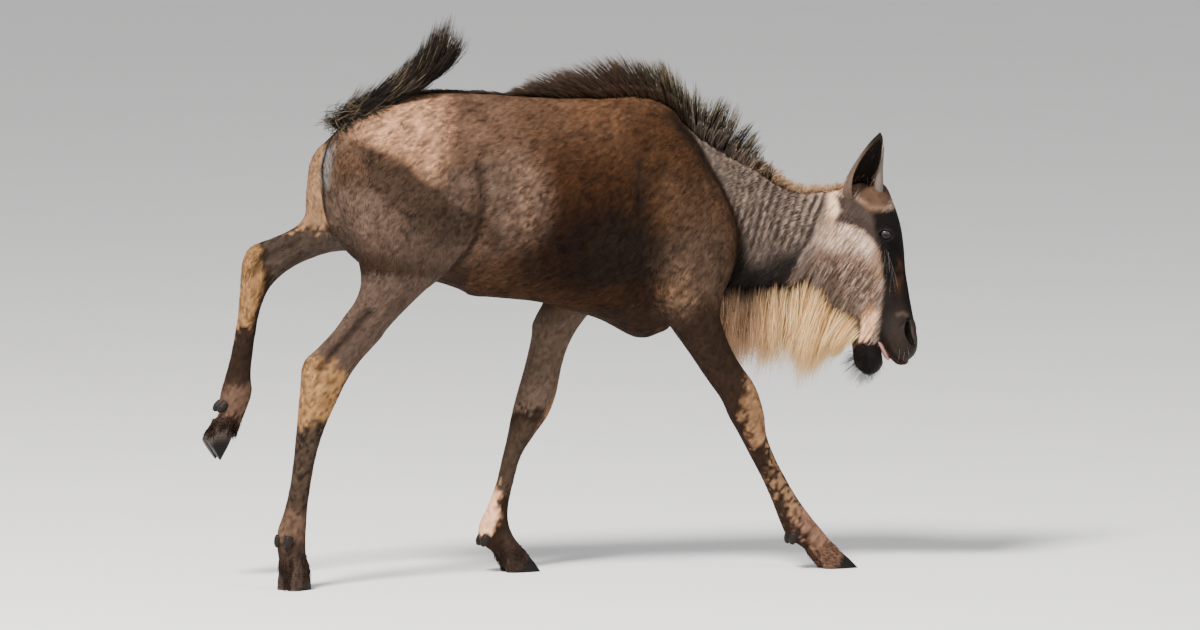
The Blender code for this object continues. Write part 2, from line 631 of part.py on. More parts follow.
def ear(side):
    """A leaf rolled to a tube at its root and open to the side, as thick as a real ear."""
    base, tip = mirrored(EAR_BASE, side), mirrored(EAR_TIP, side)
    axis = (tip - base).normalized()
    length = (tip - base).length
    opens = mirrored(EAR_OPENS_TO, side)
    opens = (opens - axis * opens.dot(axis)).normalized()
    across = axis.cross(opens)
    mesh = bmesh.new()
    steps, sides = 9, 8
    for i, ring in enumerate(rings_of(mesh, sides, steps + 1)):
        t = i / steps
        half_turn = 2.55 - 1.50 * smooth_step(t * 1.6)
        radius = 0.0150 + 0.0130 * smooth_step(t * 2.2)
        radius *= max(1 - t**2.6, 0.04)
        lean = opens * (0.012 * math.sin(math.pi * t))
        for j, vert in enumerate(ring):
            turn = half_turn * (2 * j / sides - 1)
            round_it = across * math.sin(turn) - opens * math.cos(turn)
            vert.co = base + axis * (length * t) - lean + round_it * radius
    name = "ear_left" if side > 0 else "ear_right"
    leaf = finished(mesh, name)
    wall = leaf.modifiers.new("wall", "SOLIDIFY")
    wall.thickness = EAR_WALL
    wall.offset = 0
    return moved(baked(leaf, name), neck_frame(NECK_TURN_TO))


def horn(side):
    """A short straight spike, as a calf of this age has."""
    base, tip = mirrored(HORN_BASE, side), mirrored(HORN_TIP, side)
    shares = [-0.1, 0.15, 0.4, 0.7, 0.92, 1.0]
    bow = Vector((-0.003, side * 0.003, 0))
    path = [base.lerp(tip, t) + bow * math.sin(math.pi * t) for t in shares]
    radii = [0.0105, 0.0098, 0.0082, 0.0060, 0.0036, 0.0014]
    name = "horn_left" if side > 0 else "horn_right"
    return moved(strand(name, path, radii, radii, Vector((0, 1, 0)), 10), neck_frame(NECK_TURN_TO))


def tongue():
    path = [(0.634, 0.466), (0.644, 0.452), (0.652, 0.438), (0.658, 0.425), (0.661, 0.418)]
    path = [Vector((x, -0.008, z)) for x, z in path]
    widths = [0.013, 0.013, 0.012, 0.009, 0.004]
    depths = [0.005, 0.0045, 0.004, 0.0035, 0.0015]
    return moved(strand("tongue", path, widths, depths, Vector((0, 1, 0)), 8), neck_frame(NECK_TURN_TO))


def claw(name, leg, side):
    """One half of a cloven hoof, from inside the foot down to its flat sole."""
    front, rear, toe, heel = [Vector(point) for point in leg["hoof"]]
    sections = []
    for t, square, half in CLAW_STEPS:
        a, b = front.lerp(toe, t), rear.lerp(heel, t)
        offset = leg["middle"] + side * (CLAW_SPREAD + 0.001 * t)
        sections.append((a.x, a.y, b.x, b.y, offset, CLAW_HALF_WIDTH * half, square, -0.28))
    hoof = loft(name, sections, sides=12, between=1, bend=False)
    return toed_in(hoof, leg)


def toed_in(thing, leg):
    """Turns a foot's piece about the upright through the middle of its hoof."""
    front, rear, toe, heel = leg["hoof"]
    pivot = Vector(((front[0] + rear[0]) / 2, leg["middle"], 0))
    side = 1 if leg["middle"] > 0 else -1
    turn = Matrix.Rotation(-side * math.radians(leg["toe_in"]), 4, "Z")
    return moved(thing, Matrix.Translation(pivot) @ turn @ Matrix.Translation(-pivot))


def dewclaw(name, leg, side):
    x, z, heading = leg["dewclaw"]
    heading = math.radians(heading)
    ahead = Vector((math.cos(heading), 0, math.sin(heading)))
    root = Vector((x, leg["middle"] + side * 0.0135, z))
    path = [root + ahead * (DEWCLAW_LENGTH * (t - 0.45)) for t in (0, 0.3, 0.7, 1.0)]
    widths = [0.0080, 0.0088, 0.0078, 0.0040]
    depths = [0.0090, 0.0098, 0.0082, 0.0040]
    spur = strand(name, path, widths, depths, Vector((0, 1, 0)), 6)
    return toed_in(spur, leg)


def hair_row(name, rows, count, draw, across, half_width, lean, core_sizes):
    """A core along the roots with locks fused to it, in several rows side by side."""
    core_path = [turned((x, 0, z)) for x, z, length, heading in rows]
    core_wide, core_deep = core_sizes
    core = strand(name, core_path, [core_wide] * len(rows), [core_deep] * len(rows), Vector((0, 1, 0)), 8)
    locks = []
    for i in range(count):
        for row, y in enumerate(across):
            share = (i + (row + draw.uniform(0.3, 0.7)) / len(across)) / count
            x, z, length, heading = along(rows, share)
            length *= draw.uniform(0.90, 1.05)
            heading = math.radians(heading + draw.uniform(-6, 6))
            ahead = Vector((math.cos(heading), y * lean + draw.uniform(-0.06, 0.06), math.sin(heading)))
            frame = neck_frame(x)
            root = frame @ Vector((x, y, z))
            ahead = frame.to_3x3() @ ahead.normalized()
            bend = frame.to_3x3() @ Vector((draw.uniform(-0.18, 0.06), -y * lean * 0.4, 0))
            side = frame.to_3x3() @ Vector((1, 0, 0.15))
            width = half_width * draw.uniform(0.85, 1.15)
            locks.append(lock("lock", root, ahead, length, width, 0.0042, side, bend))
    return fused(name, core, locks)


def mane(draw):
    """Stiff hair along the crest, in two rows."""
    return hair_row("mane", MANE, MANE_LOCKS, draw, (-0.006, 0.006), 0.0205, 11, (0.0110, 0.0100))


def beard(draw):
    """Long hair below the throat and jaw, in three rows."""
    return hair_row("beard", BEARD, BEARD_LOCKS, draw, (-0.019, 0.0, 0.019), 0.0210, 5, (0.0260, 0.0130))


def tail(draw):
    """The dock flipped over the croup, its long hair carried on past its tip."""
    path = [Vector(point) for point in through(DOCK, 2)]
    radii = [0.013 - 0.006 * i / (len(path) - 1) for i in range(len(path))]
    core = strand("tail", path, radii, radii, Vector((0, 1, 0)), 8)
    locks = []
    for i in range(TAIL_LOCKS):
        share = 0.06 + 0.94 * (i + 0.5) / TAIL_LOCKS
        root = Vector(along(DOCK, share))
        ahead = Vector(along(DOCK, min(share + 0.3, 1.0))) - Vector(along(DOCK, min(share, 0.7)))
        turn = i * 2.4
        out = Vector((0, math.cos(turn), 0)) + Vector((-0.5, 0, 0.8)) * math.sin(turn)
        heading = (ahead.normalized() + out * (0.14 + 0.56 * share * share)).normalized()
        length = draw.uniform(0.078, 0.090) + 0.018 * share
        bend = Vector((0.0, 0.0, 0.10)) - out * 0.06
        locks.append(lock("lock", root, heading, length, 0.0180, 0.0062, heading.cross(out), bend))
    for i in range(2):
        root = Vector(along(DOCK, 0.74 + 0.16 * i))
        heading = Vector((1.0, draw.uniform(-0.2, 0.2), 0.12)).normalized()
        length = draw.uniform(0.084, 0.096)
        bend = Vector((0, 0, -0.20))
        locks.append(lock("lock", root, heading, length, 0.018, 0.006, Vector((0, 1, 0)), bend))
    for i in range(3):
        root = Vector(along(DOCK, 0.12 + 0.04 * i))
        heading = Vector((-1.0, draw.uniform(-0.35, 0.3), draw.uniform(-0.05, 0.25))).normalized()
        length = draw.uniform(0.062, 0.082)
        bend = Vector((0, 0, -0.25))
        locks.append(lock("lock", root, heading, length, 0.016, 0.006, Vector((0, 1, 0)), bend))
    for i in range(4):
        root = Vector(along(DOCK, 0.08 + 0.06 * i))
        heading = Vector((draw.uniform(-0.1, 0.35), -1.0, draw.uniform(-0.35, -0.1))).normalized()
        length = draw.uniform(0.080, 0.100)
        bend = Vector((0.05, 0.25, -0.75))
        locks.append(lock("lock", root, heading, length, 0.015, 0.005, Vector((1, 0, 0)), bend))
    return fused("tail", core, locks)


def coloured(thing, colour, roughness=0.85):
    """A plain material of the sub-part's own."""
    material = bpy.data.materials.new(thing.name)
    material.use_nodes = True
    shader = material.node_tree.nodes["Principled BSDF"]
    shader.inputs["Base Color"].default_value = (*COLOURS[colour], 1)
    shader.inputs["Roughness"].default_value = roughness
    shader.inputs["Metallic"].default_value = 0.0
    thing.data.materials.clear()
    thing.data.materials.append(material)


def shaped_head(body, draw):
    """Lids, bristles, mouth, nostrils and eye sockets, worked into the whole body."""
    body = fused("body", body, [lid_ring(1), lid_ring(-1)] + chin_locks(draw))
    body = combined(body, mouth_wedge(), "DIFFERENCE")
    for side in (1, -1):
        body = combined(body, nostril_hollow(side), "DIFFERENCE")
    return keep_largest(body)


def leg_box(leg, step):
    """The box below one of a leg's three cuts."""
    x, z, heading = leg["cuts"][step]
    right = LEG_INNER_SIDE if leg["middle"] > 0 else -0.30
    height = (0.70, 0.40, 0.20)[step]
    return (x, z), math.radians(heading), (0.75, height), right, right + 0.30 - LEG_INNER_SIDE


def main():
    clear_scene()
    draw = random.Random(11)
    body = shaped_head(whole_body(), draw)
    eyes = [eye(side) for side in (1, -1)]
    claws = []
    for name, leg in LEGS.items():
        inner = -1 if leg["middle"] > 0 else 1
        claws.append(claw(name + "_hoof_inner", leg, inner))
        claws.append(claw(name + "_hoof_outer", leg, -inner))
    for thing in eyes + claws:
        body = combined(body, grown(thing, 1.5 * GAP), "DIFFERENCE")
    body = keep_largest(body)

    grown_on = []
    for name, leg in LEGS.items():
        inner = -1 if leg["middle"] > 0 else 1
        grown_on.append((dewclaw(name + "_dewclaw_inner", leg, inner), "hoof", 0.5))
        grown_on.append((dewclaw(name + "_dewclaw_outer", leg, -inner), "hoof", 0.5))
    for side in (1, -1):
        grown_on.append((ear(side), "face", 0.85))
        grown_on.append((horn(side), "horn", 0.5))
    grown_on.append((tongue(), "tongue", 0.4))
    grown_on.append((mane(draw), "black_hair", 0.7))
    grown_on.append((beard(draw), "pale_hair", 0.8))
    grown_on.append((tail(draw), "black_hair", 0.7))
    skin = grown(body, 1.5 * GAP)
    for thing, colour, roughness in grown_on:
        cut = keep_largest(combined(thing, skin, "DIFFERENCE", keep_other=True))
        coloured(cut, colour, roughness)
    bpy.data.objects.remove(skin)

    x, z, heading = HEAD_CUT
    there = neck_frame(NECK_TURN_TO)
    head, body = parted(body, "head", (x, z), heading, (0.40, 0.58), -0.2, 0.2, frame=there)
    coloured(head, "face")
    x, z, heading = NECK_CUT
    neck, body = parted(body, "neck", (x, z), heading, (0.50, 0.44), -0.2, 0.2, frame=neck_frame(x))
    coloured(neck, "neck")
    for name, leg in LEGS.items():
        boxes = [leg_box(leg, step) for step in range(3)]
        whole, body = parted(body, "leg", *boxes[0])
        lower, upper = parted(whole, "lower", *boxes[1])
        foot, cannon = parted(lower, name + "_foot", *boxes[2])
        upper.name = name + "_" + leg["upper"]
        cannon.name = name + "_cannon"
        for piece in (upper, cannon, foot):
            coloured(piece, "leg")
    body.name = "torso"
    coloured(body, "trunk")
    for thing in eyes:
        coloured(thing, "eye", 0.1)
    for thing in claws:
        coloured(thing, "hoof", 0.5)
    set_on_origin()


def set_on_origin():
    """Moves all pieces so that the whole stands on the origin, on its floor and centred."""
    things = list(bpy.data.objects)
    corners = np.array([thing.matrix_world @ v.co for thing in things for v in thing.data.vertices])
    low, high = corners.min(0), corners.max(0)
    shift = Matrix.Translation((-(low[0] + high[0]) / 2, -(low[1] + high[1]) / 2, -low[2]))
    for thing in things:
        thing.data.transform(shift)


main()
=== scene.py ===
"""Looks of the young wildebeest: skin, coat, long hair, head, hooves, light and camera.

Metres, +Z up. The animal faces +X and its right side is at -Y. Shapes are worked out on a straight
animal whose middle plane is y = 0, then its neck is turned, and a last shift sets all on the frame.
"""

import math

import bmesh
import bpy
import numpy as np
from mathutils import Matrix, Vector
from mathutils.bvhtree import BVHTree


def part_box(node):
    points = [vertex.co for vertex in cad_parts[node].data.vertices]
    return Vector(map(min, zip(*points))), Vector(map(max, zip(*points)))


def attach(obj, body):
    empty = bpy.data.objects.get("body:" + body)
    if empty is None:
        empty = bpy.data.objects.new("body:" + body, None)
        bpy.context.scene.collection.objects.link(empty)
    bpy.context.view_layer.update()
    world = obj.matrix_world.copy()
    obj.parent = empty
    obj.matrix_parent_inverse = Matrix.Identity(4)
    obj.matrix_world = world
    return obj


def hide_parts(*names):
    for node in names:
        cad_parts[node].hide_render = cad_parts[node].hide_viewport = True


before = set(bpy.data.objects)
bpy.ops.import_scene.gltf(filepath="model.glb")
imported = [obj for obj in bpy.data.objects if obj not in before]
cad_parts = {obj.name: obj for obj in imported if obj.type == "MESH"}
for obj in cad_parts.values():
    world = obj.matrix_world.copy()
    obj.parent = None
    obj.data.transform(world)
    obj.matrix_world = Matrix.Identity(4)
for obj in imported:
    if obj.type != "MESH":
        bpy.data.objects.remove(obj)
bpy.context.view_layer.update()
rng = np.random.default_rng(23)

# Sizes of the skin's mesh and how it is smoothed
SKIN_VOXEL = 0.0068
TRUNK_SMOOTHING = 22
SKIN_SMOOTHING = 4
FORM_SIDES = 36
RINGS_BETWEEN = 5

# The neck turns to the animal's right between these two places, by this angle
NECK_TURN_FROM = 0.27
NECK_TURN_TO = 0.50
NECK_TURN = math.radians(-22)

# Each section of a form: the two points of its outline in side view (x, z, x, z), the offset of
# its middle to the left, its half width, its squareness (2 is an ellipse) and its taper towards
# the second point (positive is narrower there).
TORSO = [
    (-0.525, 0.835, -0.520, 0.745, 0.0, 0.020, 2.0, 0.0),
    (-0.505, 0.890, -0.500, 0.690, 0.0, 0.050, 2.0, 0.0),
    (-0.460, 0.928, -0.455, 0.640, 0.0, 0.082, 2.1, 0.0),
    (-0.395, 0.951, -0.395, 0.605, 0.0, 0.104, 2.2, -0.05),
    (-0.294, 0.967, -0.290, 0.592, 0.0, 0.116, 2.2, -0.05),
    (-0.189, 0.963, -0.190, 0.560, 0.0, 0.122, 2.2, -0.08),
    (-0.063, 0.953, -0.063, 0.543, 0.0, 0.128, 2.2, -0.08),
    (0.064, 0.951, 0.064, 0.505, 0.0, 0.124, 2.1, -0.02),
    (0.149, 0.953, 0.149, 0.466, 0.0, 0.112, 2.0, 0.05),
    (0.205, 0.932, 0.215, 0.492, 0.0, 0.102, 2.0, 0.05),
    (0.262, 0.880, 0.275, 0.535, 0.0, 0.090, 2.0, 0.0),
    (0.315, 0.800, 0.325, 0.600, 0.0, 0.060, 2.0, 0.0),
]
NECK = [
    (0.180, 0.945, 0.240, 0.530, 0.0, 0.070, 2.0, -0.15),
    (0.255, 0.890, 0.300, 0.545, 0.0, 0.070, 2.0, -0.10),
    (0.325, 0.850, 0.355, 0.550, 0.0, 0.064, 2.0, -0.08),
    (0.395, 0.810, 0.410, 0.552, 0.0, 0.060, 2.0, -0.08),
    (0.455, 0.772, 0.455, 0.560, 0.0, 0.056, 2.0, -0.05),
    (0.505, 0.760, 0.500, 0.585, 0.0, 0.055, 2.0, -0.05),
    (0.560, 0.762, 0.550, 0.620, 0.0, 0.050, 2.0, -0.05),
]
HEAD = [
    (0.625, 0.783, 0.585, 0.776, 0.0, 0.025, 2.0, 0.0),
    (0.655, 0.770, 0.548, 0.752, 0.0, 0.050, 2.2, 0.0),
    (0.673, 0.730, 0.525, 0.700, 0.0, 0.062, 2.4, 0.10),
    (0.685, 0.692, 0.512, 0.640, 0.0, 0.066, 2.4, 0.12),
    (0.692, 0.650, 0.505, 0.585, 0.0, 0.061, 2.3, 0.05),
    (0.696, 0.600, 0.525, 0.545, 0.0, 0.051, 2.2, 0.02),
    (0.703, 0.556, 0.560, 0.518, 0.0, 0.043, 2.2, 0.0),
    (0.709, 0.520, 0.592, 0.495, 0.0, 0.039, 2.3, 0.0),
    (0.716, 0.485, 0.628, 0.472, 0.0, 0.042, 2.5, 0.0),
    (0.721, 0.455, 0.656, 0.448, 0.0, 0.046, 2.6, 0.0),
    (0.716, 0.430, 0.662, 0.428, 0.0, 0.041, 2.5, 0.0),
    (0.698, 0.413, 0.668, 0.414, 0.0, 0.024, 2.2, 0.0),
]
JAW = [
    (0.610, 0.545, 0.535, 0.535, 0.0, 0.034, 2.0, 0.0),
    (0.628, 0.500, 0.574, 0.492, 0.0, 0.030, 2.0, 0.0),
    (0.640, 0.468, 0.584, 0.458, 0.0, 0.031, 2.2, 0.0),
    (0.650, 0.437, 0.588, 0.428, 0.0, 0.034, 2.3, 0.0),
    (0.651, 0.408, 0.597, 0.402, 0.0, 0.030, 2.2, 0.0),
    (0.638, 0.388, 0.612, 0.387, 0.0, 0.016, 2.0, 0.0),
]
FORE_RIGHT = [
    (0.215, 0.900, 0.130, 0.905, -0.045, 0.030, 2.0, 0.0),
    (0.265, 0.830, 0.120, 0.830, -0.062, 0.046, 2.0, 0.0),
    (0.310, 0.755, 0.122, 0.745, -0.075, 0.052, 2.1, 0.0),
    (0.332, 0.690, 0.128, 0.665, -0.082, 0.052, 2.1, 0.0),
    (0.325, 0.615, 0.135, 0.595, -0.088, 0.048, 2.0, 0.0),
    (0.298, 0.556, 0.152, 0.535, -0.090, 0.043, 2.0, 0.0),
    (0.290, 0.512, 0.187, 0.487, -0.090, 0.038, 2.0, 0.0),
    (0.304, 0.465, 0.222, 0.440, -0.090, 0.034, 2.0, 0.0),
    (0.330, 0.420, 0.256, 0.392, -0.088, 0.031, 2.0, 0.0),
    (0.362, 0.376, 0.291, 0.346, -0.086, 0.031, 2.2, 0.0),
    (0.381, 0.322, 0.308, 0.312, -0.084, 0.031, 2.4, 0.0),
    (0.388, 0.275, 0.330, 0.275, -0.083, 0.027, 2.3, 0.0),
    (0.406, 0.232, 0.358, 0.222, -0.082, 0.022, 2.0, 0.0),
    (0.428, 0.192, 0.382, 0.178, -0.081, 0.020, 2.0, 0.0),
    (0.456, 0.146, 0.405, 0.128, -0.080, 0.022, 2.0, 0.0),
    (0.484, 0.108, 0.423, 0.086, -0.080, 0.027, 2.1, 0.0),
    (0.506, 0.082, 0.438, 0.060, -0.080, 0.028, 2.2, 0.0),
    (0.528, 0.055, 0.470, 0.040, -0.080, 0.026, 2.2, 0.0),
    (0.548, 0.030, 0.492, 0.014, -0.080, 0.026, 2.2, 0.0),
    (0.556, 0.018, 0.500, 0.004, -0.080, 0.020, 2.2, 0.0),
]
FORE_LEFT = [
    (0.205, 0.900, 0.115, 0.905, 0.045, 0.030, 2.0, 0.0),
    (0.240, 0.830, 0.090, 0.830, 0.062, 0.046, 2.0, 0.0),
    (0.262, 0.755, 0.062, 0.745, 0.075, 0.052, 2.1, 0.0),
    (0.255, 0.680, 0.030, 0.660, 0.082, 0.052, 2.1, 0.0),
    (0.205, 0.605, -0.005, 0.590, 0.088, 0.048, 2.0, 0.0),
    (0.118, 0.545, -0.030, 0.540, 0.090, 0.043, 2.0, 0.0),
    (0.060, 0.498, -0.045, 0.492, 0.089, 0.038, 2.0, 0.0),
    (0.028, 0.450, -0.056, 0.446, 0.087, 0.034, 2.0, 0.0),
    (0.012, 0.402, -0.070, 0.398, 0.085, 0.031, 2.0, 0.0),
    (0.001, 0.355, -0.085, 0.350, 0.083, 0.031, 2.2, 0.0),
    (-0.018, 0.312, -0.096, 0.308, 0.081, 0.031, 2.4, 0.0),
    (-0.046, 0.276, -0.105, 0.270, 0.079, 0.027, 2.3, 0.0),
    (-0.076, 0.232, -0.118, 0.226, 0.077, 0.022, 2.0, 0.0),
    (-0.092, 0.182, -0.131, 0.178, 0.075, 0.020, 2.0, 0.0),
    (-0.104, 0.135, -0.150, 0.132, 0.073, 0.022, 2.0, 0.0),
    (-0.105, 0.100, -0.169, 0.092, 0.072, 0.027, 2.1, 0.0),
    (-0.092, 0.068, -0.166, 0.060, 0.071, 0.028, 2.2, 0.0),
    (-0.075, 0.048, -0.140, 0.040, 0.070, 0.026, 2.2, 0.0),
    (-0.062, 0.026, -0.124, 0.016, 0.070, 0.026, 2.2, 0.0),
    (-0.058, 0.014, -0.118, 0.004, 0.070, 0.020, 2.2, 0.0),
]
HIND_RIGHT = [
    (-0.275, 0.900, -0.455, 0.915, -0.050, 0.040, 2.0, 0.0),
    (-0.240, 0.835, -0.505, 0.845, -0.068, 0.058, 2.1, 0.0),
    (-0.232, 0.755, -0.518, 0.768, -0.076, 0.063, 2.1, 0.0),
    (-0.245, 0.685, -0.496, 0.705, -0.082, 0.062, 2.1, 0.0),
    (-0.280, 0.625, -0.480, 0.645, -0.088, 0.055, 2.0, 0.0),
    (-0.340, 0.580, -0.476, 0.598, -0.092, 0.046, 2.0, 0.0),
    (-0.392, 0.533, -0.502, 0.552, -0.095, 0.038, 2.0, 0.0),
    (-0.444, 0.481, -0.533, 0.512, -0.097, 0.032, 2.0, 0.0),
    (-0.480, 0.444, -0.568, 0.478, -0.098, 0.027, 2.1, 0.0),
    (-0.505, 0.410, -0.597, 0.450, -0.099, 0.027, 2.3, 0.0),
    (-0.526, 0.372, -0.604, 0.395, -0.100, 0.028, 2.3, 0.0),
    (-0.550, 0.323, -0.610, 0.330, -0.100, 0.026, 2.2, 0.0),
    (-0.568, 0.268, -0.617, 0.268, -0.100, 0.022, 2.0, 0.0),
    (-0.580, 0.209, -0.625, 0.209, -0.100, 0.021, 2.0, 0.0),
    (-0.588, 0.155, -0.638, 0.155, -0.100, 0.023, 2.0, 0.0),
    (-0.591, 0.118, -0.652, 0.115, -0.100, 0.028, 2.1, 0.0),
    (-0.592, 0.088, -0.652, 0.082, -0.100, 0.028, 2.2, 0.0),
    (-0.590, 0.060, -0.648, 0.058, -0.100, 0.026, 2.2, 0.0),
    (-0.583, 0.040, -0.646, 0.040, -0.100, 0.026, 2.2, 0.0),
    (-0.583, 0.028, -0.636, 0.028, -0.100, 0.020, 2.2, 0.0),
]
HIND_LEFT = [
    (-0.285, 0.900, -0.460, 0.915, 0.050, 0.040, 2.0, 0.0),
    (-0.262, 0.835, -0.518, 0.850, 0.068, 0.057, 2.1, 0.0),
    (-0.275, 0.755, -0.530, 0.790, 0.076, 0.060, 2.1, 0.0),
    (-0.325, 0.690, -0.530, 0.750, 0.082, 0.056, 2.1, 0.0),
    (-0.400, 0.655, -0.530, 0.728, 0.086, 0.047, 2.0, 0.0),
    (-0.465, 0.648, -0.545, 0.710, 0.088, 0.038, 2.0, 0.0),
    (-0.520, 0.636, -0.566, 0.698, 0.089, 0.032, 2.0, 0.0),
    (-0.565, 0.614, -0.603, 0.684, 0.090, 0.028, 2.1, 0.0),
    (-0.592, 0.592, -0.642, 0.670, 0.090, 0.027, 2.3, 0.0),
    (-0.608, 0.572, -0.660, 0.640, 0.090, 0.028, 2.3, 0.0),
    (-0.622, 0.538, -0.666, 0.580, 0.090, 0.026, 2.2, 0.0),
    (-0.630, 0.500, -0.672, 0.520, 0.090, 0.022, 2.0, 0.0),
    (-0.638, 0.448, -0.684, 0.456, 0.090, 0.021, 2.0, 0.0),
    (-0.641, 0.408, -0.698, 0.406, 0.090, 0.023, 2.0, 0.0),
    (-0.639, 0.378, -0.708, 0.370, 0.090, 0.028, 2.1, 0.0),
    (-0.650, 0.348, -0.708, 0.340, 0.090, 0.028, 2.2, 0.0),
    (-0.662, 0.318, -0.718, 0.322, 0.090, 0.026, 2.2, 0.0),
    (-0.670, 0.300, -0.728, 0.308, 0.090, 0.026, 2.2, 0.0),
    (-0.676, 0.290, -0.724, 0.296, 0.090, 0.020, 2.2, 0.0),
]

# Each leg: its sections, the side it is on, and for its three cuts the place (x, z) and the heading.
# Then, in side view, the coronet's front and rear, the toe and the heel, and the dewclaws' place.
LEGS = {
    "fore_right": {
        "form": FORE_RIGHT,
        "cuts": [(0.240, 0.505, -70), (0.357, 0.285, -64), (0.436, 0.126, -54)],
        "upper": "forearm",
        "hoof": [(0.541, 0.044), (0.486, 0.028), (0.583, 0.0), (0.506, 0.0)],
        "dewclaw": (0.443, 0.064, -110),
        "middle": -0.080,
        "toe_in": 0,
    },
    "fore_left": {
        "form": FORE_LEFT,
        "cuts": [(0.018, 0.520, -100), (-0.065, 0.285, -115), (-0.129, 0.124, -94)],
        "upper": "forearm",
        "hoof": [(-0.068, 0.042), (-0.127, 0.030), (-0.041, 0.0), (-0.117, 0.0)],
        "dewclaw": (-0.160, 0.066, -120),
        "middle": 0.070,
        "toe_in": 0,
    },
    "hind_right": {
        "form": HIND_RIGHT,
        "cuts": [(-0.395, 0.600, -131), (-0.578, 0.345, -101), (-0.615, 0.137, -94)],
        "upper": "shank",
        "hoof": [(-0.587, 0.052), (-0.645, 0.046), (-0.584, 0.0), (-0.645, 0.0)],
        "dewclaw": (-0.646, 0.098, -110),
        "middle": -0.100,
        "toe_in": 25,
    },
    "hind_left": {
        "form": HIND_LEFT,
        "cuts": [(-0.470, 0.690, -155), (-0.646, 0.545, -102), (-0.672, 0.392, -98)],
        "upper": "shank",
        "hoof": [(-0.672, 0.306), (-0.730, 0.314), (-0.711, 0.243), (-0.739, 0.286)],
        "dewclaw": (-0.706, 0.350, -140),
        "middle": 0.090,
        "toe_in": 0,
    },
}
LEG_INNER_SIDE = 0.047
CLAW_SPREAD = 0.0140
CLAW_HALF_WIDTH = 0.0125
# Down one claw: the share of the way to its sole, the squareness and the share of its half width
CLAW_STEPS = [(-0.35, 2.0, 0.78), (0.0, 2.2, 0.92), (0.5, 2.3, 1.0), (0.93, 2.4, 1.02), (1.0, 2.4, 0.98)]
DEWCLAW_LENGTH = 0.024

# Places on the head, in side view and to the left of its middle, before the neck turns
EYE = (0.6555, 0.0475, 0.674)
EYE_RADIUS = 0.0145
EAR_BASE = (0.589, 0.046, 0.742)
EAR_TIP = (0.643, 0.084, 0.877)
# Up the ear: the middle of its roll (x, to the left, z), half its width in side view, half the
# turn that it is rolled through, and how far from the side towards the front it opens, in degrees
EAR = [
    (0.596, 0.004, 0.716, 0.0080, 2.60, 48),
    (0.590, 0.022, 0.736, 0.0170, 2.45, 46),
    (0.594, 0.042, 0.762, 0.0245, 2.15, 42),
    (0.606, 0.056, 0.788, 0.0265, 1.85, 36),
    (0.620, 0.066, 0.814, 0.0245, 1.60, 28),
    (0.631, 0.075, 0.838, 0.0178, 1.40, 22),
    (0.639, 0.081, 0.857, 0.0092, 1.30, 18),
    (0.642, 0.084, 0.868, 0.0006, 1.30, 18),
]
HORN_BASE = (0.640, 0.031, 0.752)
HORN_TIP = (0.649, 0.042, 0.848)
NOSTRIL = (0.701, 0.034, 0.463)
MOUTH_CORNER = (0.645, 0.458)
MOUTH_OPENS_AT = (0.662, 0.392)

# Hair along the crest: where its root is (x, z), how long it is and where it points, in degrees
MANE = [
    (-0.460, 0.925, 0.016, 165),
    (-0.300, 0.955, 0.018, 160),
    (-0.120, 0.952, 0.022, 158),
    (-0.085, 0.950, 0.040, 152),
    (-0.010, 0.948, 0.080, 144),
    (0.064, 0.946, 0.094, 134),
    (0.128, 0.946, 0.098, 122),
    (0.185, 0.932, 0.102, 111),
    (0.225, 0.906, 0.114, 103),
    (0.262, 0.876, 0.114, 95),
    (0.300, 0.856, 0.106, 84),
    (0.345, 0.831, 0.080, 72),
    (0.395, 0.803, 0.040, 62),
    (0.445, 0.773, 0.027, 74),
    (0.505, 0.757, 0.024, 90),
    (0.580, 0.766, 0.024, 110),
]
MANE_LOCKS = 17
# Hair below the throat: its root (x, z), its length and where it points
BEARD = [
    (0.325, 0.560, 0.140, -92),
    (0.390, 0.556, 0.146, -96),
    (0.450, 0.562, 0.156, -99),
    (0.500, 0.570, 0.174, -103),
    (0.540, 0.540, 0.145, -113),
    (0.575, 0.512, 0.100, -128),
    (0.600, 0.498, 0.070, -142),
]
BEARD_LOCKS = 9
CHIN_LOCKS = 12
# The tail's dock, from its root over the croup to its tip
DOCK = [
    (-0.485, 0.000, 0.905),
    (-0.468, -0.004, 0.926),
    (-0.425, -0.010, 0.950),
    (-0.375, -0.016, 0.972),
    (-0.325, -0.018, 0.996),
    (-0.288, -0.018, 1.026),
]
TAIL_LOCKS = 12


def smooth_step(share):
    share = np.clip(share, 0.0, 1.0)
    return share * share * (3 - 2 * share)


# The middle line of the turned neck, in small steps
TURN_PLACES = np.linspace(NECK_TURN_FROM, NECK_TURN_TO, 121)
TURN_STEP = TURN_PLACES[1] - TURN_PLACES[0]
TURN_ANGLES = NECK_TURN * smooth_step((TURN_PLACES - NECK_TURN_FROM) / (NECK_TURN_TO - NECK_TURN_FROM))
TURN_MIDDLES = (TURN_ANGLES[1:] + TURN_ANGLES[:-1]) / 2
TURN_X = NECK_TURN_FROM + TURN_STEP * np.concatenate([[0], np.cumsum(np.cos(TURN_MIDDLES))])
TURN_Y = TURN_STEP * np.concatenate([[0], np.cumsum(np.sin(TURN_MIDDLES))])


def neck_line(x):
    """The heading and the middle of the turned animal at each x of the straight one."""
    angle = np.interp(x, TURN_PLACES, TURN_ANGLES)
    beyond = np.maximum(x - NECK_TURN_TO, 0)
    before = np.minimum(x - NECK_TURN_FROM, 0)
    middle_x = np.interp(x, TURN_PLACES, TURN_X) + math.cos(NECK_TURN) * beyond + before
    middle_y = np.interp(x, TURN_PLACES, TURN_Y) + math.sin(NECK_TURN) * beyond
    return angle, middle_x, middle_y


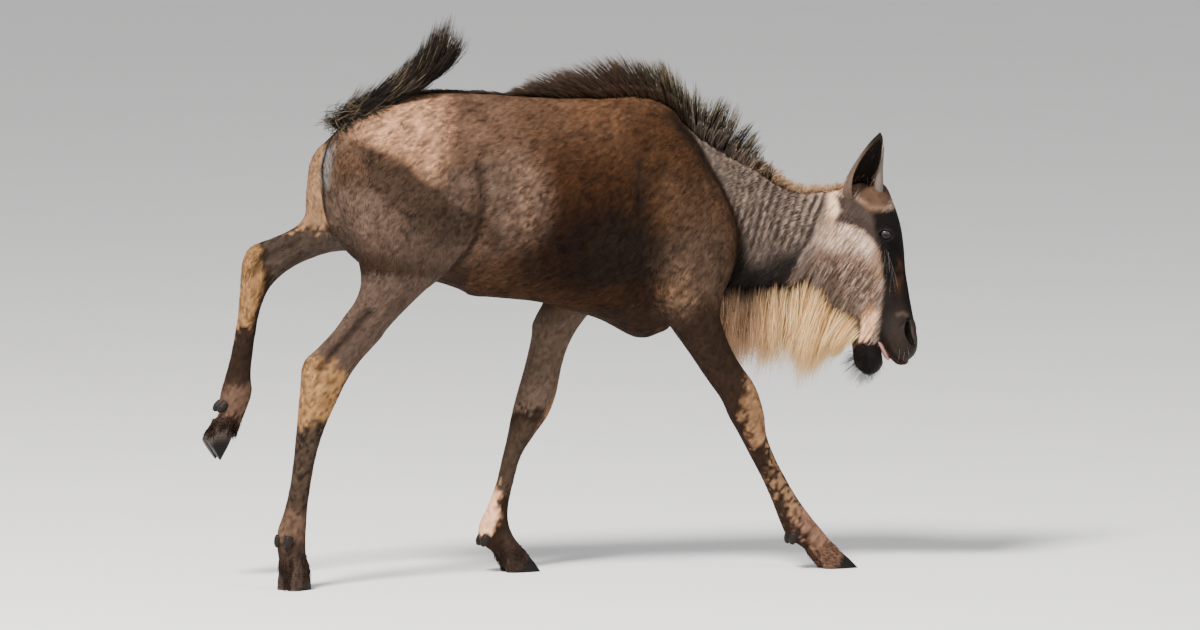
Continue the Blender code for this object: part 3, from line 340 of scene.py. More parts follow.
def turned(points):
    """Points of the straight animal, moved with the neck's turn."""
    points = np.atleast_2d(np.asarray(points, float))
    angle, x, y = neck_line(points[:, 0])
    return np.stack([x - np.sin(angle) * points[:, 1], y + np.cos(angle) * points[:, 1], points[:, 2]], 1)


def straightened(points):
    """Points of the turned animal on the straight one, with the neck's heading at each."""
    x = points[:, 0].copy()
    for repeat in range(10):
        angle, middle_x, middle_y = neck_line(x)
        x += (points[:, 0] - middle_x) * np.cos(angle) + (points[:, 1] - middle_y) * np.sin(angle)
    angle, middle_x, middle_y = neck_line(x)
    y = (points[:, 1] - middle_y) * np.cos(angle) - (points[:, 0] - middle_x) * np.sin(angle)
    leg = (points[:, 2] < 0.50) & (points[:, 0] < 0.45) | (points[:, 2] < 0.37)
    straight = np.where(leg[:, None], points, np.stack([x, y, points[:, 2]], 1))
    return straight, np.where(leg, 0.0, angle)


def swung(vectors, angle):
    """Directions of the straight animal, turned with the neck."""
    x = vectors[:, 0] * np.cos(angle) - vectors[:, 1] * np.sin(angle)
    y = vectors[:, 0] * np.sin(angle) + vectors[:, 1] * np.cos(angle)
    return np.stack([x, y, vectors[:, 2]], 1)


def neck_frame(x):
    """The move that the neck's turn gives to what stands at this x on the straight animal."""
    angle, middle_x, middle_y = neck_line(np.array([x]))
    there = Matrix.Translation((middle_x[0], middle_y[0], 0))
    return there @ Matrix.Rotation(angle[0], 4, "Z") @ Matrix.Translation((-x, 0, 0))


HEAD_FRAME = neck_frame(NECK_TURN_TO)
EYE_BOX = np.array(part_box("eye_left"), float)
SHIFT = Vector(EYE_BOX.mean(0) - turned([EYE])[0])


def through(rows, between):
    """Rows of numbers with smooth steps put between them, by a Catmull-Rom curve."""
    rows = np.array(rows, float)
    padded = np.vstack([2 * rows[0] - rows[1], rows, 2 * rows[-1] - rows[-2]])
    out = []
    for i in range(len(rows) - 1):
        a, b, c, d = padded[i : i + 4]
        for t in np.arange(between) / between:
            straight = 2 * b + (c - a) * t
            out.append((straight + (2 * a - 5 * b + 4 * c - d) * t**2 + (3 * b - a - 3 * c + d) * t**3) / 2)
    out.append(rows[-1])
    return out


def along(rows, share):
    """The rows at these shares of the way through rows of numbers."""
    rows = np.asarray(rows, float)
    places = np.clip(share, 0, 1) * (len(rows) - 1)
    columns = [np.interp(places, np.arange(len(rows)), rows[:, k]) for k in range(rows.shape[1])]
    return np.stack(columns, -1)


def waves(points, size, seed):
    """Soft noise between about -1 and 1 whose patches are about this size."""
    total = np.zeros(len(points))
    for share, finer in ((1.25, 0.62), (0.75, 0.31)):
        scaled = points / (size * finer) + seed * 7.31
        corner = np.floor(scaled).astype(np.int64)
        near = smooth_step(scaled - corner)
        for step in range(8):
            side = np.array([step & 1, step >> 1 & 1, step >> 2])
            mixed = (corner + side) @ np.array([73856093, 19349663, 83492791]) + seed * 9176
            mixed = (mixed ^ (mixed >> 15)) * 2246822519 & 0xFFFFFFFF
            mixed = (mixed ^ (mixed >> 13)) * 3266489917 & 0xFFFFFFFF
            number = ((mixed ^ (mixed >> 16)) & 0xFFFF) / 32767.5 - 1
            total += share * number * np.where(side, near, 1 - near).prod(1)
    return total


def grain(straight, degrees, length, width, seed):
    """Streaks of this length and width that run this way in side view."""
    turn = math.radians(degrees)
    ahead = straight[:, 0] * math.cos(turn) + straight[:, 2] * math.sin(turn)
    across = straight[:, 2] * math.cos(turn) - straight[:, 0] * math.sin(turn)
    return waves(np.stack([ahead / length, across / width, straight[:, 1] / (3 * width)], 1), 1.0, seed)


# Meshes from loops and operators


def finished(mesh, name):
    data = bpy.data.meshes.new(name)
    mesh.to_mesh(data)
    mesh.free()
    thing = bpy.data.objects.new(name, data)
    bpy.context.scene.collection.objects.link(thing)
    return thing


def baked(thing, name):
    """Puts the evaluated mesh of an object in its place, under this name."""
    graph = bpy.context.evaluated_depsgraph_get()
    data = bpy.data.meshes.new_from_object(thing.evaluated_get(graph))
    bpy.data.objects.remove(thing)
    data.name = name
    whole = bpy.data.objects.new(name, data)
    bpy.context.scene.collection.objects.link(whole)
    return whole


def rings_of(mesh, sides, count):
    """A grid of vertices to be rolled into a tube: count rings with their seam vertex doubled."""
    grid = bmesh.ops.create_grid(mesh, x_segments=sides, y_segments=count - 1, size=1)
    rows = sorted(grid["verts"], key=lambda v: (round(v.co.y, 5), v.co.x))
    return [rows[i * (sides + 1) : (i + 1) * (sides + 1)] for i in range(count)]


def closed(mesh, name):
    """Joins a rolled grid at its seam and closes its ends."""
    bmesh.ops.remove_doubles(mesh, verts=mesh.verts, dist=1e-6)
    bmesh.ops.holes_fill(mesh, edges=[e for e in mesh.edges if e.is_boundary], sides=0)
    bmesh.ops.recalc_face_normals(mesh, faces=mesh.faces)
    return finished(mesh, name)


def loft(name, sections, sides=FORM_SIDES, between=RINGS_BETWEEN):
    """A closed form through sections given by their outline points, offset and half width."""
    mesh = bmesh.new()
    sections = through(sections, between)
    for ring, section in zip(rings_of(mesh, sides, len(sections)), sections):
        x1, z1, x2, z2, y, half_width, square, taper = section
        middle = Vector(((x1 + x2) / 2, y, (z1 + z2) / 2))
        half = Vector(((x1 - x2) / 2, 0, (z1 - z2) / 2))
        for j, vert in enumerate(ring):
            turn = 2 * math.pi * (j % sides) / sides
            lengthwise = math.copysign(abs(math.cos(turn)) ** (2 / square), math.cos(turn))
            across = math.copysign(abs(math.sin(turn)) ** (2 / square), math.sin(turn))
            across *= half_width * (1 + taper * lengthwise)
            vert.co = middle + half * lengthwise + Vector((0, across, 0))
    return closed(mesh, name)


def bent(thing):
    """Moves a whole form with the neck's turn."""
    points = vertices(thing)
    thing.data.vertices.foreach_set("co", turned(points).astype(np.float32).ravel())
    return thing


def strand(name, path, widths, depths, side, sides=4):
    """A closed form along a path, as wide along side and as deep across it as its lists say."""
    mesh = bmesh.new()
    last = len(path) - 1
    for i, ring in enumerate(rings_of(mesh, sides, len(path))):
        ahead = (path[min(i + 1, last)] - path[max(i - 1, 0)]).normalized()
        wide = (side - ahead * side.dot(ahead)).normalized()
        deep = ahead.cross(wide)
        for j, vert in enumerate(ring):
            turn = 2 * math.pi * (j % sides) / sides
            vert.co = path[i] + wide * (math.cos(turn) * widths[i]) + deep * (math.sin(turn) * depths[i])
    return closed(mesh, name)


def ball(name, centre, radii, segments=32, rings=20):
    mesh = bmesh.new()
    bmesh.ops.create_uvsphere(mesh, u_segments=segments, v_segments=rings, radius=1)
    bmesh.ops.scale(mesh, verts=mesh.verts, vec=Vector(radii))
    bmesh.ops.translate(mesh, verts=mesh.verts, vec=Vector(centre))
    return finished(mesh, name)


def moved(thing, matrix):
    thing.data.transform(matrix)
    return thing


def mirrored(point, side):
    return Vector((point[0], side * point[1], point[2]))


def joined(things, name):
    """One object that holds the meshes of these, still as separate shells."""
    mesh = bmesh.new()
    for thing in things:
        mesh.from_mesh(thing.data)
        bpy.data.objects.remove(thing)
    return finished(mesh, name)


def combined(thing, other, operation):
    """The Boolean of two closed forms, in the first one's place."""
    step = thing.modifiers.new("combine", "BOOLEAN")
    step.operation = operation
    step.solver = "MANIFOLD"
    step.object = other
    whole = baked(thing, thing.name)
    bpy.data.objects.remove(other)
    return whole


def vertices(thing):
    points = np.empty(len(thing.data.vertices) * 3, np.float32)
    thing.data.vertices.foreach_get("co", points)
    return points.reshape(-1, 3).astype(float)


def vertex_normals(thing):
    normals = np.empty(len(thing.data.vertices) * 3, np.float32)
    thing.data.vertex_normals.foreach_get("vector", normals)
    return normals.reshape(-1, 3).astype(float)


def set_vertices(thing, points):
    thing.data.vertices.foreach_set("co", points.astype(np.float32).ravel())
    thing.data.update()


def set_colours(thing, name, colours):
    """A colour for each vertex, kept as an attribute for the material."""
    layer = thing.data.attributes.new(name, "FLOAT_COLOR", "POINT")
    four = np.ones((len(colours), 4), np.float32)
    four[:, :3] = colours
    layer.data.foreach_set("color", four.ravel())


def set_numbers(thing, name, numbers):
    layer = thing.data.attributes.new(name, "FLOAT", "POINT")
    layer.data.foreach_set("value", np.asarray(numbers, np.float32))


def smoothed(thing, where, repeats):
    """Evens out the vertices for which where is true."""
    mesh = bmesh.new()
    mesh.from_mesh(thing.data)
    mesh.verts.ensure_lookup_table()
    chosen = [mesh.verts[i] for i in np.flatnonzero(where)]
    for repeat in range(repeats):
        bmesh.ops.smooth_vert(
            mesh, verts=chosen, factor=0.5, use_axis_x=True, use_axis_y=True, use_axis_z=True
        )
    mesh.to_mesh(thing.data)
    mesh.free()
    return thing


def ready(thing, material, *nodes, slot=None, smooth=True):
    """Sets a finished piece on the frame, with its material and the nodes that it stands for."""
    moved(thing, Matrix.Translation(SHIFT))
    points = vertices(thing)
    points[:, 2] = np.maximum(points[:, 2], 0)
    thing.data.vertices.foreach_set("co", points.ravel())
    thing.data.materials.clear()
    thing.data.materials.append(material)
    if smooth:
        thing.data.shade_smooth()
    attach(thing, "root")
    if nodes:
        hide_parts(*nodes)
    return thing


# The skin


def head_masses():
    """Rounded masses of the head, on both sides."""
    masses = []
    masses.append(ball("chin", (0.6175, 0, 0.4210), (0.0305, 0.0235, 0.0300)))
    for side in (1, -1):
        masses.append(ball("cheek", (0.578, side * 0.040, 0.625), (0.046, 0.022, 0.062)))
        masses.append(ball("brow", (0.652, side * 0.046, 0.684), (0.026, 0.013, 0.022)))
        masses.append(ball("horn_mound", (0.634, side * 0.028, 0.754), (0.022, 0.019, 0.024)))
        masses.append(ball("nostril_wing", (0.697, side * 0.032, 0.468), (0.018, 0.014, 0.027)))
    return masses


def trunk_masses():
    masses = [ball("navel", (-0.200, 0, 0.566), (0.022, 0.010, 0.014))]
    for side in (1, -1):
        masses.append(ball("hip", (-0.285, side * 0.066, 0.885), (0.060, 0.038, 0.045)))
    return masses


def rough_body():
    """All flesh in one closed skin: the forms fused by voxels and smoothed."""
    forms = [bent(loft("torso_form", TORSO)), bent(loft("neck_form", NECK))]
    forms += [bent(loft("head_form", HEAD)), bent(loft("jaw_form", JAW))]
    forms += [loft(name, leg["form"]) for name, leg in LEGS.items()]
    forms += [moved(mass, HEAD_FRAME) for mass in head_masses()] + trunk_masses()
    body = joined(forms, "skin")
    remesh = body.modifiers.new("fuse", "REMESH")
    remesh.mode = "VOXEL"
    remesh.voxel_size = SKIN_VOXEL
    body = baked(body, "skin")
    points = vertices(body)
    trunk = (points[:, 2] > 0.50) & (points[:, 0] > -0.50) & (points[:, 0] < 0.36)
    smoothed(body, trunk, TRUNK_SMOOTHING)
    return smoothed(body, np.ones(len(points), bool), SKIN_SMOOTHING)


def finer_head(body):
    """Splits the faces of the head so that its features can be small."""
    straight, angle = straightened(vertices(body))
    head = (straight[:, 0] > 0.500) & (straight[:, 2] > 0.37)
    mesh = bmesh.new()
    mesh.from_mesh(body.data)
    mesh.verts.ensure_lookup_table()
    edges = [e for e in mesh.edges if head[e.verts[0].index] and head[e.verts[1].index]]
    bmesh.ops.subdivide_edges(mesh, edges=edges, cuts=2, use_grid_fill=True)
    mesh.to_mesh(body.data)
    mesh.free()
    straight, angle = straightened(vertices(body))
    return smoothed(body, (straight[:, 0] > 0.505) & (straight[:, 2] > 0.37), 5)


def eye_opening(side):
    """An almond-shaped prism that opens the lids."""
    mesh = bmesh.new()
    bmesh.ops.create_cone(mesh, cap_ends=True, segments=40, radius1=1, radius2=1, depth=0.05)
    for vert in mesh.verts:
        across, up, out = vert.co
        pointed = up * (1 - 0.30 * across * across)
        vert.co = Vector((across * 0.0136, out + 0.025, pointed * (0.0104 if up > 0 else 0.0086)))
    bmesh.ops.recalc_face_normals(mesh, faces=mesh.faces)
    opening = moved(finished(mesh, "opening"), Matrix.Rotation(math.radians(14), 4, "Y"))
    if side < 0:
        moved(opening, Matrix.Scale(-1, 4, Vector((0, 1, 0))))
        opening.data.flip_normals()
    return moved(opening, HEAD_FRAME @ Matrix.Translation(mirrored(EYE, side)))


def mouth_wedge():
    """The gap between the lips: a thin wedge that opens downward."""
    mesh = bmesh.new()
    bmesh.ops.create_cube(mesh, size=1)
    corner, opening = Vector(MOUTH_CORNER), Vector(MOUTH_OPENS_AT)
    for vert in mesh.verts:
        low = vert.co.z < 0
        place = opening if low else corner
        half = 0.0085 if low else 0.0012
        vert.co = Vector((place.x + math.copysign(half, vert.co.x), vert.co.y * 0.12, place.y))
    return moved(finished(mesh, "mouth"), HEAD_FRAME)


def nostril_hollow(side):
    """A slit like a comma, wide above and curving forward below."""
    path = [(0.700, 0.504), (0.6985, 0.492), (0.700, 0.478), (0.704, 0.465), (0.709, 0.455), (0.714, 0.450)]
    path = [Vector((x, side * NOSTRIL_OUT, z)) for x, z in path]
    widths = [0.0020, 0.0050, 0.0062, 0.0056, 0.0042, 0.0016]
    depths = [0.006, 0.013, 0.016, 0.015, 0.011, 0.005]
    rows = through(list(zip(widths, depths)), 3)
    path = [Vector(point) for point in through(path, 3)]
    hollow = strand("nostril", path, [row[0] for row in rows], [row[1] for row in rows], Vector((1, 0, 0)), 16)
    return moved(hollow, HEAD_FRAME)


def lip(side_rows, name, radius):
    """A soft roll along one edge of the mouth, from the left corner round to the right one."""
    path = [Vector(row) for row in through(side_rows, 3)]
    radii = [radius * (0.55 + 0.45 * math.sin(math.pi * i / (len(path) - 1))) for i in range(len(path))]
    return moved(strand(name, path, radii, radii, Vector((0, 0, 1)), 10), HEAD_FRAME)


NOSTRIL_OUT = 0.046
UPPER_LIP = [
    (0.650, 0.034, 0.452),
    (0.664, 0.036, 0.430),
    (0.678, 0.032, 0.414),
    (0.692, 0.018, 0.413),
    (0.697, 0.000, 0.414),
    (0.692, -0.018, 0.413),
    (0.678, -0.032, 0.414),
    (0.664, -0.036, 0.430),
    (0.650, -0.034, 0.452),
]


def shaped_head(body):
    """Lids, lips, mouth and nostrils, worked into the skin."""
    body = combined(body, lip(UPPER_LIP, "upper_lip", 0.0058), "UNION")
    for side in (1, -1):
        lids = ball("lids", mirrored(EYE, side), (EYE_RADIUS + 0.0022,) * 3, 48, 32)
        body = combined(body, moved(lids, HEAD_FRAME), "UNION")
        wing = ball("wing", (0.703, side * 0.031, 0.474), (0.0150, 0.0125, 0.0300))
        body = combined(body, moved(wing, HEAD_FRAME), "UNION")
    straight, angle = straightened(vertices(body))
    near_wing = (straight[:, 0] > 0.62) & (straight[:, 2] < 0.50)
    smoothed(body, near_wing, 5)
    body = combined(body, mouth_wedge(), "DIFFERENCE")
    for side in (1, -1):
        body = combined(body, nostril_hollow(side), "DIFFERENCE")
        body = combined(body, eye_opening(side), "DIFFERENCE")
        socket = ball("socket", mirrored(EYE, side), (EYE_RADIUS + 0.0004,) * 3, 48, 32)
        body = combined(body, moved(socket, HEAD_FRAME), "DIFFERENCE")
    return body


# The lie of the coat and its markings, by place on the straight animal in side view


def nearness(x, z, path, width):
    """1 on a line through these places, falling softly to 0 at about twice this width from it."""
    path = np.asarray(path, float)
    best = np.full(len(x), 1e9)
    for a, b in zip(path[:-1], path[1:]):
        way = b - a
        share = np.clip(((x - a[0]) * way[0] + (z - a[1]) * way[1]) / (way @ way), 0, 1)
        away = (x - a[0] - share * way[0]) ** 2 + (z - a[1] - share * way[1]) ** 2
        best = np.minimum(best, away)
    return np.exp(-best / width**2)


def spot(x, z, centre_x, centre_z, reach_x, reach_z, soft=0.5):
    """1 inside an oval, falling to 0 over the soft share of its reach."""
    away = np.hypot((x - centre_x) / reach_x, (z - centre_z) / reach_z)
    return smooth_step((1 + soft / 2 - away) / soft)


def inside(x, z, outline, soft):
    """1 inside an outline, with an edge this soft."""
    outline = np.asarray(outline, float)
    ring = np.vstack([outline, outline[:1]])
    within = np.zeros(len(x), bool)
    best = np.full(len(x), 1e9)
    for a, b in zip(ring[:-1], ring[1:]):
        way = b - a
        share = np.clip(((x - a[0]) * way[0] + (z - a[1]) * way[1]) / (way @ way), 0, 1)
        best = np.minimum(best, (x - a[0] - share * way[0]) ** 2 + (z - a[1] - share * way[1]) ** 2)
        if a[1] != b[1]:
            crosses = (a[1] > z) != (b[1] > z)
            within ^= crosses & (x < way[0] * (z - a[1]) / way[1] + a[0])
    signed = np.where(within, 1, -1) * np.sqrt(best)
    return smooth_step(0.5 + signed / soft)


def leg_line(leg, share, rows=None):
    """Places down a leg in side view, at this share of the way from its front to its rear edge."""
    chosen = LEGS[leg]["form"][slice(*rows)] if rows else LEGS[leg]["form"]
    return [(x1 + (x2 - x1) * share, z1 + (z2 - z1) * share) for x1, z1, x2, z2, *rest in chosen]


# Where the coat points, in degrees in side view: 0 is ahead, 90 is up, 180 is back
LIE = [
    (0.70, 0.45, -95), (0.70, 0.55, -95), (0.685, 0.66, -92), (0.665, 0.745, 60),
    (0.63, 0.72, 200), (0.63, 0.60, 245), (0.60, 0.50, 260), (0.57, 0.66, 235),
    (0.55, 0.58, 232), (0.60, 0.45, 255), (0.56, 0.74, 215), (0.60, 0.785, 180),
    (0.50, 0.74, 205), (0.50, 0.62, 225), (0.42, 0.77, 215), (0.42, 0.68, 238),
    (0.40, 0.58, 228), (0.34, 0.80, 215), (0.33, 0.66, 240), (0.27, 0.86, 205),
    (0.25, 0.75, 225), (0.20, 0.92, 195), (0.20, 0.60, 245), (0.10, 0.93, 188),
    (0.12, 0.70, 222), (0.00, 0.90, 190), (0.00, 0.70, 205), (0.02, 0.56, 195),
    (-0.15, 0.92, 186), (-0.15, 0.75, 198), (-0.15, 0.60, 192), (-0.30, 0.93, 190),
    (-0.28, 0.80, 205), (-0.26, 0.66, 232), (-0.42, 0.92, 205), (-0.42, 0.80, 225),
    (-0.40, 0.68, 245), (-0.50, 0.83, 250), (-0.50, 0.72, 262),
]


def lie_headings(straight):
    """The coat's direction at each place, blended from the named places near it."""
    places = {1: [], -1: []}
    for side in places:
        places[side] += [(x, z, math.radians(heading), 1.0) for x, z, heading in LIE]
    for leg in LEGS.values():
        rows = leg["form"]
        side = 1 if leg["middle"] > 0 else -1
        middles = [((r[0] + r[2]) / 2, (r[1] + r[3]) / 2) for r in rows]
        for i in range(6, len(rows) - 1):
            down = math.atan2(middles[i + 1][1] - middles[i][1], middles[i + 1][0] - middles[i][0])
            places[side].append((*middles[i], down, 1.0))
    ahead = np.zeros((len(straight), 3))
    for side, own in places.items():
        chosen = np.flatnonzero((straight[:, 1] > 0) == (side > 0))
        total = np.zeros((len(chosen), 2))
        for x, z, heading, weight in own:
            away = (straight[chosen, 0] - x) ** 2 + (straight[chosen, 2] - z) ** 2
            pull = weight / (away + 0.0004) ** 2
            total += pull[:, None] * [math.cos(heading), math.sin(heading)]
        total /= np.linalg.norm(total, axis=1)[:, None]
        ahead[chosen, 0] = total[:, 0]
        ahead[chosen, 2] = total[:, 1]
    return ahead


# Folds and muscle edges: a path on one leg, how deep it goes in and how wide it is


def leg_folds():
    folds = []
    for leg, facts in LEGS.items():
        side = 1 if facts["middle"] > 0 else -1
        if leg.startswith("fore"):
            folds.append((side, leg_line(leg, -0.03, (1, 7)), 0.0050, 0.013))
            folds.append((side, leg_line(leg, 1.04, (1, 6)), 0.0060, 0.014))
            folds.append((side, leg_line(leg, 0.42, (3, 9)), 0.0022, 0.007))
            folds.append((side, leg_line(leg, 0.80, (5, 6)) + leg_line(leg, 0.92, (6, 7)), -0.0040, 0.014))
            folds.append((side, leg_line(leg, 0.66, (11, 15)), 0.0024, 0.0045))
        else:
            folds.append((side, leg_line(leg, -0.03, (1, 5)), 0.0080, 0.011))
            folds.append((side, leg_line(leg, 0.74, (1, 5)), 0.0030, 0.010))
            folds.append((side, leg_line(leg, 0.35, (5, 8)), 0.0020, 0.007))
            folds.append((side, leg_line(leg, 0.70, (6, 10)), 0.0075, 0.0085))
            folds.append((side, leg_line(leg, 0.62, (11, 15)), 0.0024, 0.0045))
        folds.append((side, leg_line(leg, 0.50, (9, 11)), -0.0020, 0.010))
    return folds


FACE_FOLDS = [
    ([(0.638, 0.690), (0.652, 0.6955), (0.668, 0.690)], 0.0014, 0.0022),
    ([(0.668, 0.662), (0.678, 0.640), (0.683, 0.620)], 0.0022, 0.0040),
    ([(0.640, 0.640), (0.646, 0.580), (0.638, 0.520)], 0.0022, 0.0080),
    ([(0.660, 0.650), (0.664, 0.600), (0.670, 0.550)], -0.0016, 0.0060),
    ([(0.590, 0.560), (0.560, 0.590), (0.545, 0.640)], -0.0020, 0.0120),
    ([(0.684, 0.485), (0.694, 0.497), (0.706, 0.490)], 0.0016, 0.0028),
    ([(0.666, 0.470), (0.672, 0.448), (0.684, 0.432)], 0.0012, 0.0030),
]
RIB_SPACING = 0.043


def folded(body):
    """Presses the folds in, lifts the ribs, and draws the skin in by the depth of its coat."""
    points, normals = vertices(body), vertex_normals(body)
    straight, angle = straightened(points)
    x, y, z = straight.T
    outward = swung(normals, -angle)
    move = np.zeros(len(points))
    for side, path, depth, width in leg_folds():
        facing = smooth_step(outward[:, 1] * side * 2.2) * ((y > 0) == (side > 0))
        move -= depth * facing * nearness(x, z, path, width)
    for path, depth, width in FACE_FOLDS:
        move -= depth * smooth_step(np.abs(outward[:, 1]) * 2.0) * nearness(x, z, path, width) * (z > 0.37)
    ribs = np.sin(2 * math.pi * (x + 0.28 * (z - 0.75)) / RIB_SPACING)
    move += 0.0011 * ribs * spot(x, z, -0.03, 0.74, 0.15, 0.13) * smooth_step(np.abs(outward[:, 1]) * 1.5)
    move += 0.009 * np.exp(-((y / 0.040) ** 2)) * smooth_step((z - 0.90) / 0.02) * (x < 0.24)
    move -= coat_fields(straight)["depth"]
    set_vertices(body, points + normals * move[:, None])
    return body


def coat_fields(straight):
    """How long, wide, raised and dense the coat's tufts are at each place, and the coat's depth."""
    x, y, z = straight.T
    leg = smooth_step((0.56 - z) / 0.08) * np.where(x > 0.40, z < 0.37, 1.0)
    foot = smooth_step((0.16 - z) / 0.05) + smooth_step((0.42 - z) / 0.03) * (x < -0.61)
    foot = np.clip(foot, 0, 1)
    head = smooth_step((x - 0.500 + 0.25 * (z - 0.70)) / 0.03) * (z > 0.37)
    neck = smooth_step((x - 0.29) / 0.06) * (z > 0.50) * (1 - head)
    cheek = head * inside(x, z, [(0.50, 0.72), (0.60, 0.70), (0.63, 0.60), (0.62, 0.50), (0.50, 0.50)], 0.05)
    muzzle = head * smooth_step((0.53 - z) / 0.05) * smooth_step((x - 0.61) / 0.03)
    eyes = np.exp(-(((x - EYE[0]) ** 2 + (z - EYE[2]) ** 2) / 0.026**2)) * head
    length = 0.0140 * (1 - leg) + 0.0085 * leg
    length = length * (1 - foot) + 0.0060 * foot
    length = length * (1 - neck) + 0.0200 * neck
    length = length * (1 - head) + 0.0080 * head
    length = length * (1 - cheek) + 0.0230 * cheek
    length = length * (1 - muzzle) + 0.0034 * muzzle
    length = length * (1 - eyes) + 0.0042 * eyes
    width = np.clip(0.00055 + 0.050 * length, 0.0007, 0.0013) * (1 - 0.28 * cheek)
    lift = 0.06 + 0.05 * neck + 0.05 * cheek - 0.01 * leg * (1 - foot)
    depth = 0.0024 * (1 - leg) + 0.0011 * leg + 0.0012 * neck + 0.0010 * cheek
    depth = depth * (1 - head) + (0.0010 + 0.0018 * cheek) * head
    depth *= 1 - 0.8 * np.clip(eyes * 1.6, 0, 1)
    cover = 0.86 - 0.14 * leg + 0.12 * neck + 0.16 * cheek - 0.16 * muzzle
    density = cover / (length * width * 0.5)
    return {"length": length, "width": width, "lift": lift, "depth": depth, "density": density, "bare": muzzle}


# Colours of the coat, some of them painted shade, painted shadow and painted highlights
WARM = (0.052, 0.026, 0.0135)
BACK_BROWN = (0.070, 0.037, 0.021)
RIB_BROWN = (0.027, 0.0105, 0.0040)
LOW_RIB = (0.0110, 0.0044, 0.0016)
RED_BROWN = (0.034, 0.0150, 0.0062)
WITHER_BROWN = (0.076, 0.036, 0.0175)
SHOULDER = (0.032, 0.0150, 0.0070)
SHOULDER_LOW = (0.048, 0.0255, 0.0145)
ARM_BROWN = (0.050, 0.0310, 0.0205)
ELBOW_GOLD = (0.125, 0.074, 0.045)
FAWN = (0.330, 0.175, 0.100)
LOIN = (0.080, 0.044, 0.027)
GREY_FAWN = (0.125, 0.074, 0.050)
FLANK_GREY = (0.068, 0.0440, 0.0320)
THIGH = (0.074, 0.047, 0.034)
THIGH_SHADE = (0.030, 0.0180, 0.0115)
HAUNCH_BROWN = (0.080, 0.050, 0.036)
# Painted shade for creases, muscle edges and hollows of the trunk and upper legs
PAINTED_SHADE = (0.0100, 0.0058, 0.0038)
BELLY = (0.024, 0.0095, 0.0036)
BRISKET = (0.017, 0.0092, 0.0055)
DORSAL = (0.020, 0.0105, 0.0060)
NECK_BROWN = (0.078, 0.058, 0.048)
NECK_PALE = (0.250, 0.180, 0.138)
NECK_DARK = (0.022, 0.0165, 0.0140)
NECK_CREST = (0.400, 0.260, 0.180)
THROAT = (0.016, 0.0135, 0.0125)
NECK_BASE_SHADE = (0.0075, 0.0055, 0.0045)
CHEEK_WHITE = (0.640, 0.455, 0.350)
CHEEK_RIM = (0.400, 0.310, 0.262)
CHEEK_PALE = (0.370, 0.265, 0.215)
CHEEK_MIXED = (0.165, 0.112, 0.084)
CHEEK_BROWN = (0.052, 0.032, 0.023)
CHEEK_TAN = (0.240, 0.134, 0.076)
CHEEK_FRINGE = (0.085, 0.050, 0.032)
EAR_SHADE = (0.030, 0.0215, 0.0180)
BLACK_FACE = (0.0062, 0.0045, 0.0040)
LID = (0.034, 0.0260, 0.0235)
FACE_GREY = (0.0150, 0.0105, 0.0086)
BEIGE_AND_HIGHLIGHT = (0.700, 0.470, 0.310)
PATCH_TAN = (0.240, 0.118, 0.068)
PATCH_PALE = (0.840, 0.480, 0.260)
POLL_TAN = (0.340, 0.200, 0.120)
MOUND = (0.088, 0.050, 0.032)
MOUND_DARK = (0.042, 0.023, 0.014)
MOUND_PALE_AND_HIGHLIGHT = (0.300, 0.170, 0.110)
RUST = (0.040, 0.0180, 0.0090)
MUZZLE = (0.021, 0.0145, 0.0112)
NOSTRIL_FOLD_AND_HIGHLIGHT = (0.072, 0.0500, 0.0400)
LIP_BROWN = (0.030, 0.0110, 0.0060)
WHITE_GREY = (0.120, 0.104, 0.095)
LEG_BROWN = (0.019, 0.0102, 0.0062)
LEG_GREY = (0.060, 0.0420, 0.0320)
SHANK = (0.070, 0.0450, 0.0335)
TAN = (0.280, 0.146, 0.060)
TAN_GREY = (0.225, 0.126, 0.068)
PALE_TAN = (0.850, 0.460, 0.270)
KNEE_TAN = (0.250, 0.133, 0.066)
FORE_GREY = (0.090, 0.0600, 0.0430)
CANNON_BROWN = (0.046, 0.0300, 0.0205)
FETLOCK = (0.105, 0.0600, 0.0400)
RED_PASTERN = (0.042, 0.0255, 0.0180)
FOOT_BROWN = (0.032, 0.0200, 0.0145)
FOOT_PINK = (0.150, 0.0830, 0.0540)
FOOT_PALE = (0.200, 0.1050, 0.0680)
SPECK = (0.0130, 0.0080, 0.0055)

HEAD_AREA = [(0.534, 0.704), (0.525, 0.690), (0.514, 0.675), (0.500, 0.653), (0.489, 0.635), (0.481, 0.613)]
HEAD_AREA += [(0.470, 0.594), (0.455, 0.572), (0.439, 0.541), (0.440, 0.450), (0.600, 0.380), (0.800, 0.380)]
HEAD_AREA += [(0.800, 0.820), (0.560, 0.820), (0.531, 0.760), (0.530, 0.726)]
# The edge between the black face and the cheek, from the brow down to the mouth
BLAZE = [(0.622, 0.733), (0.629, 0.715), (0.633, 0.697), (0.637, 0.668), (0.641, 0.646), (0.647, 0.613)]
BLAZE += [(0.651, 0.577), (0.648, 0.540), (0.646, 0.511), (0.639, 0.470), (0.640, 0.380), (0.780, 0.380)]
BLAZE += [(0.780, 0.720), (0.690, 0.728), (0.655, 0.722)]
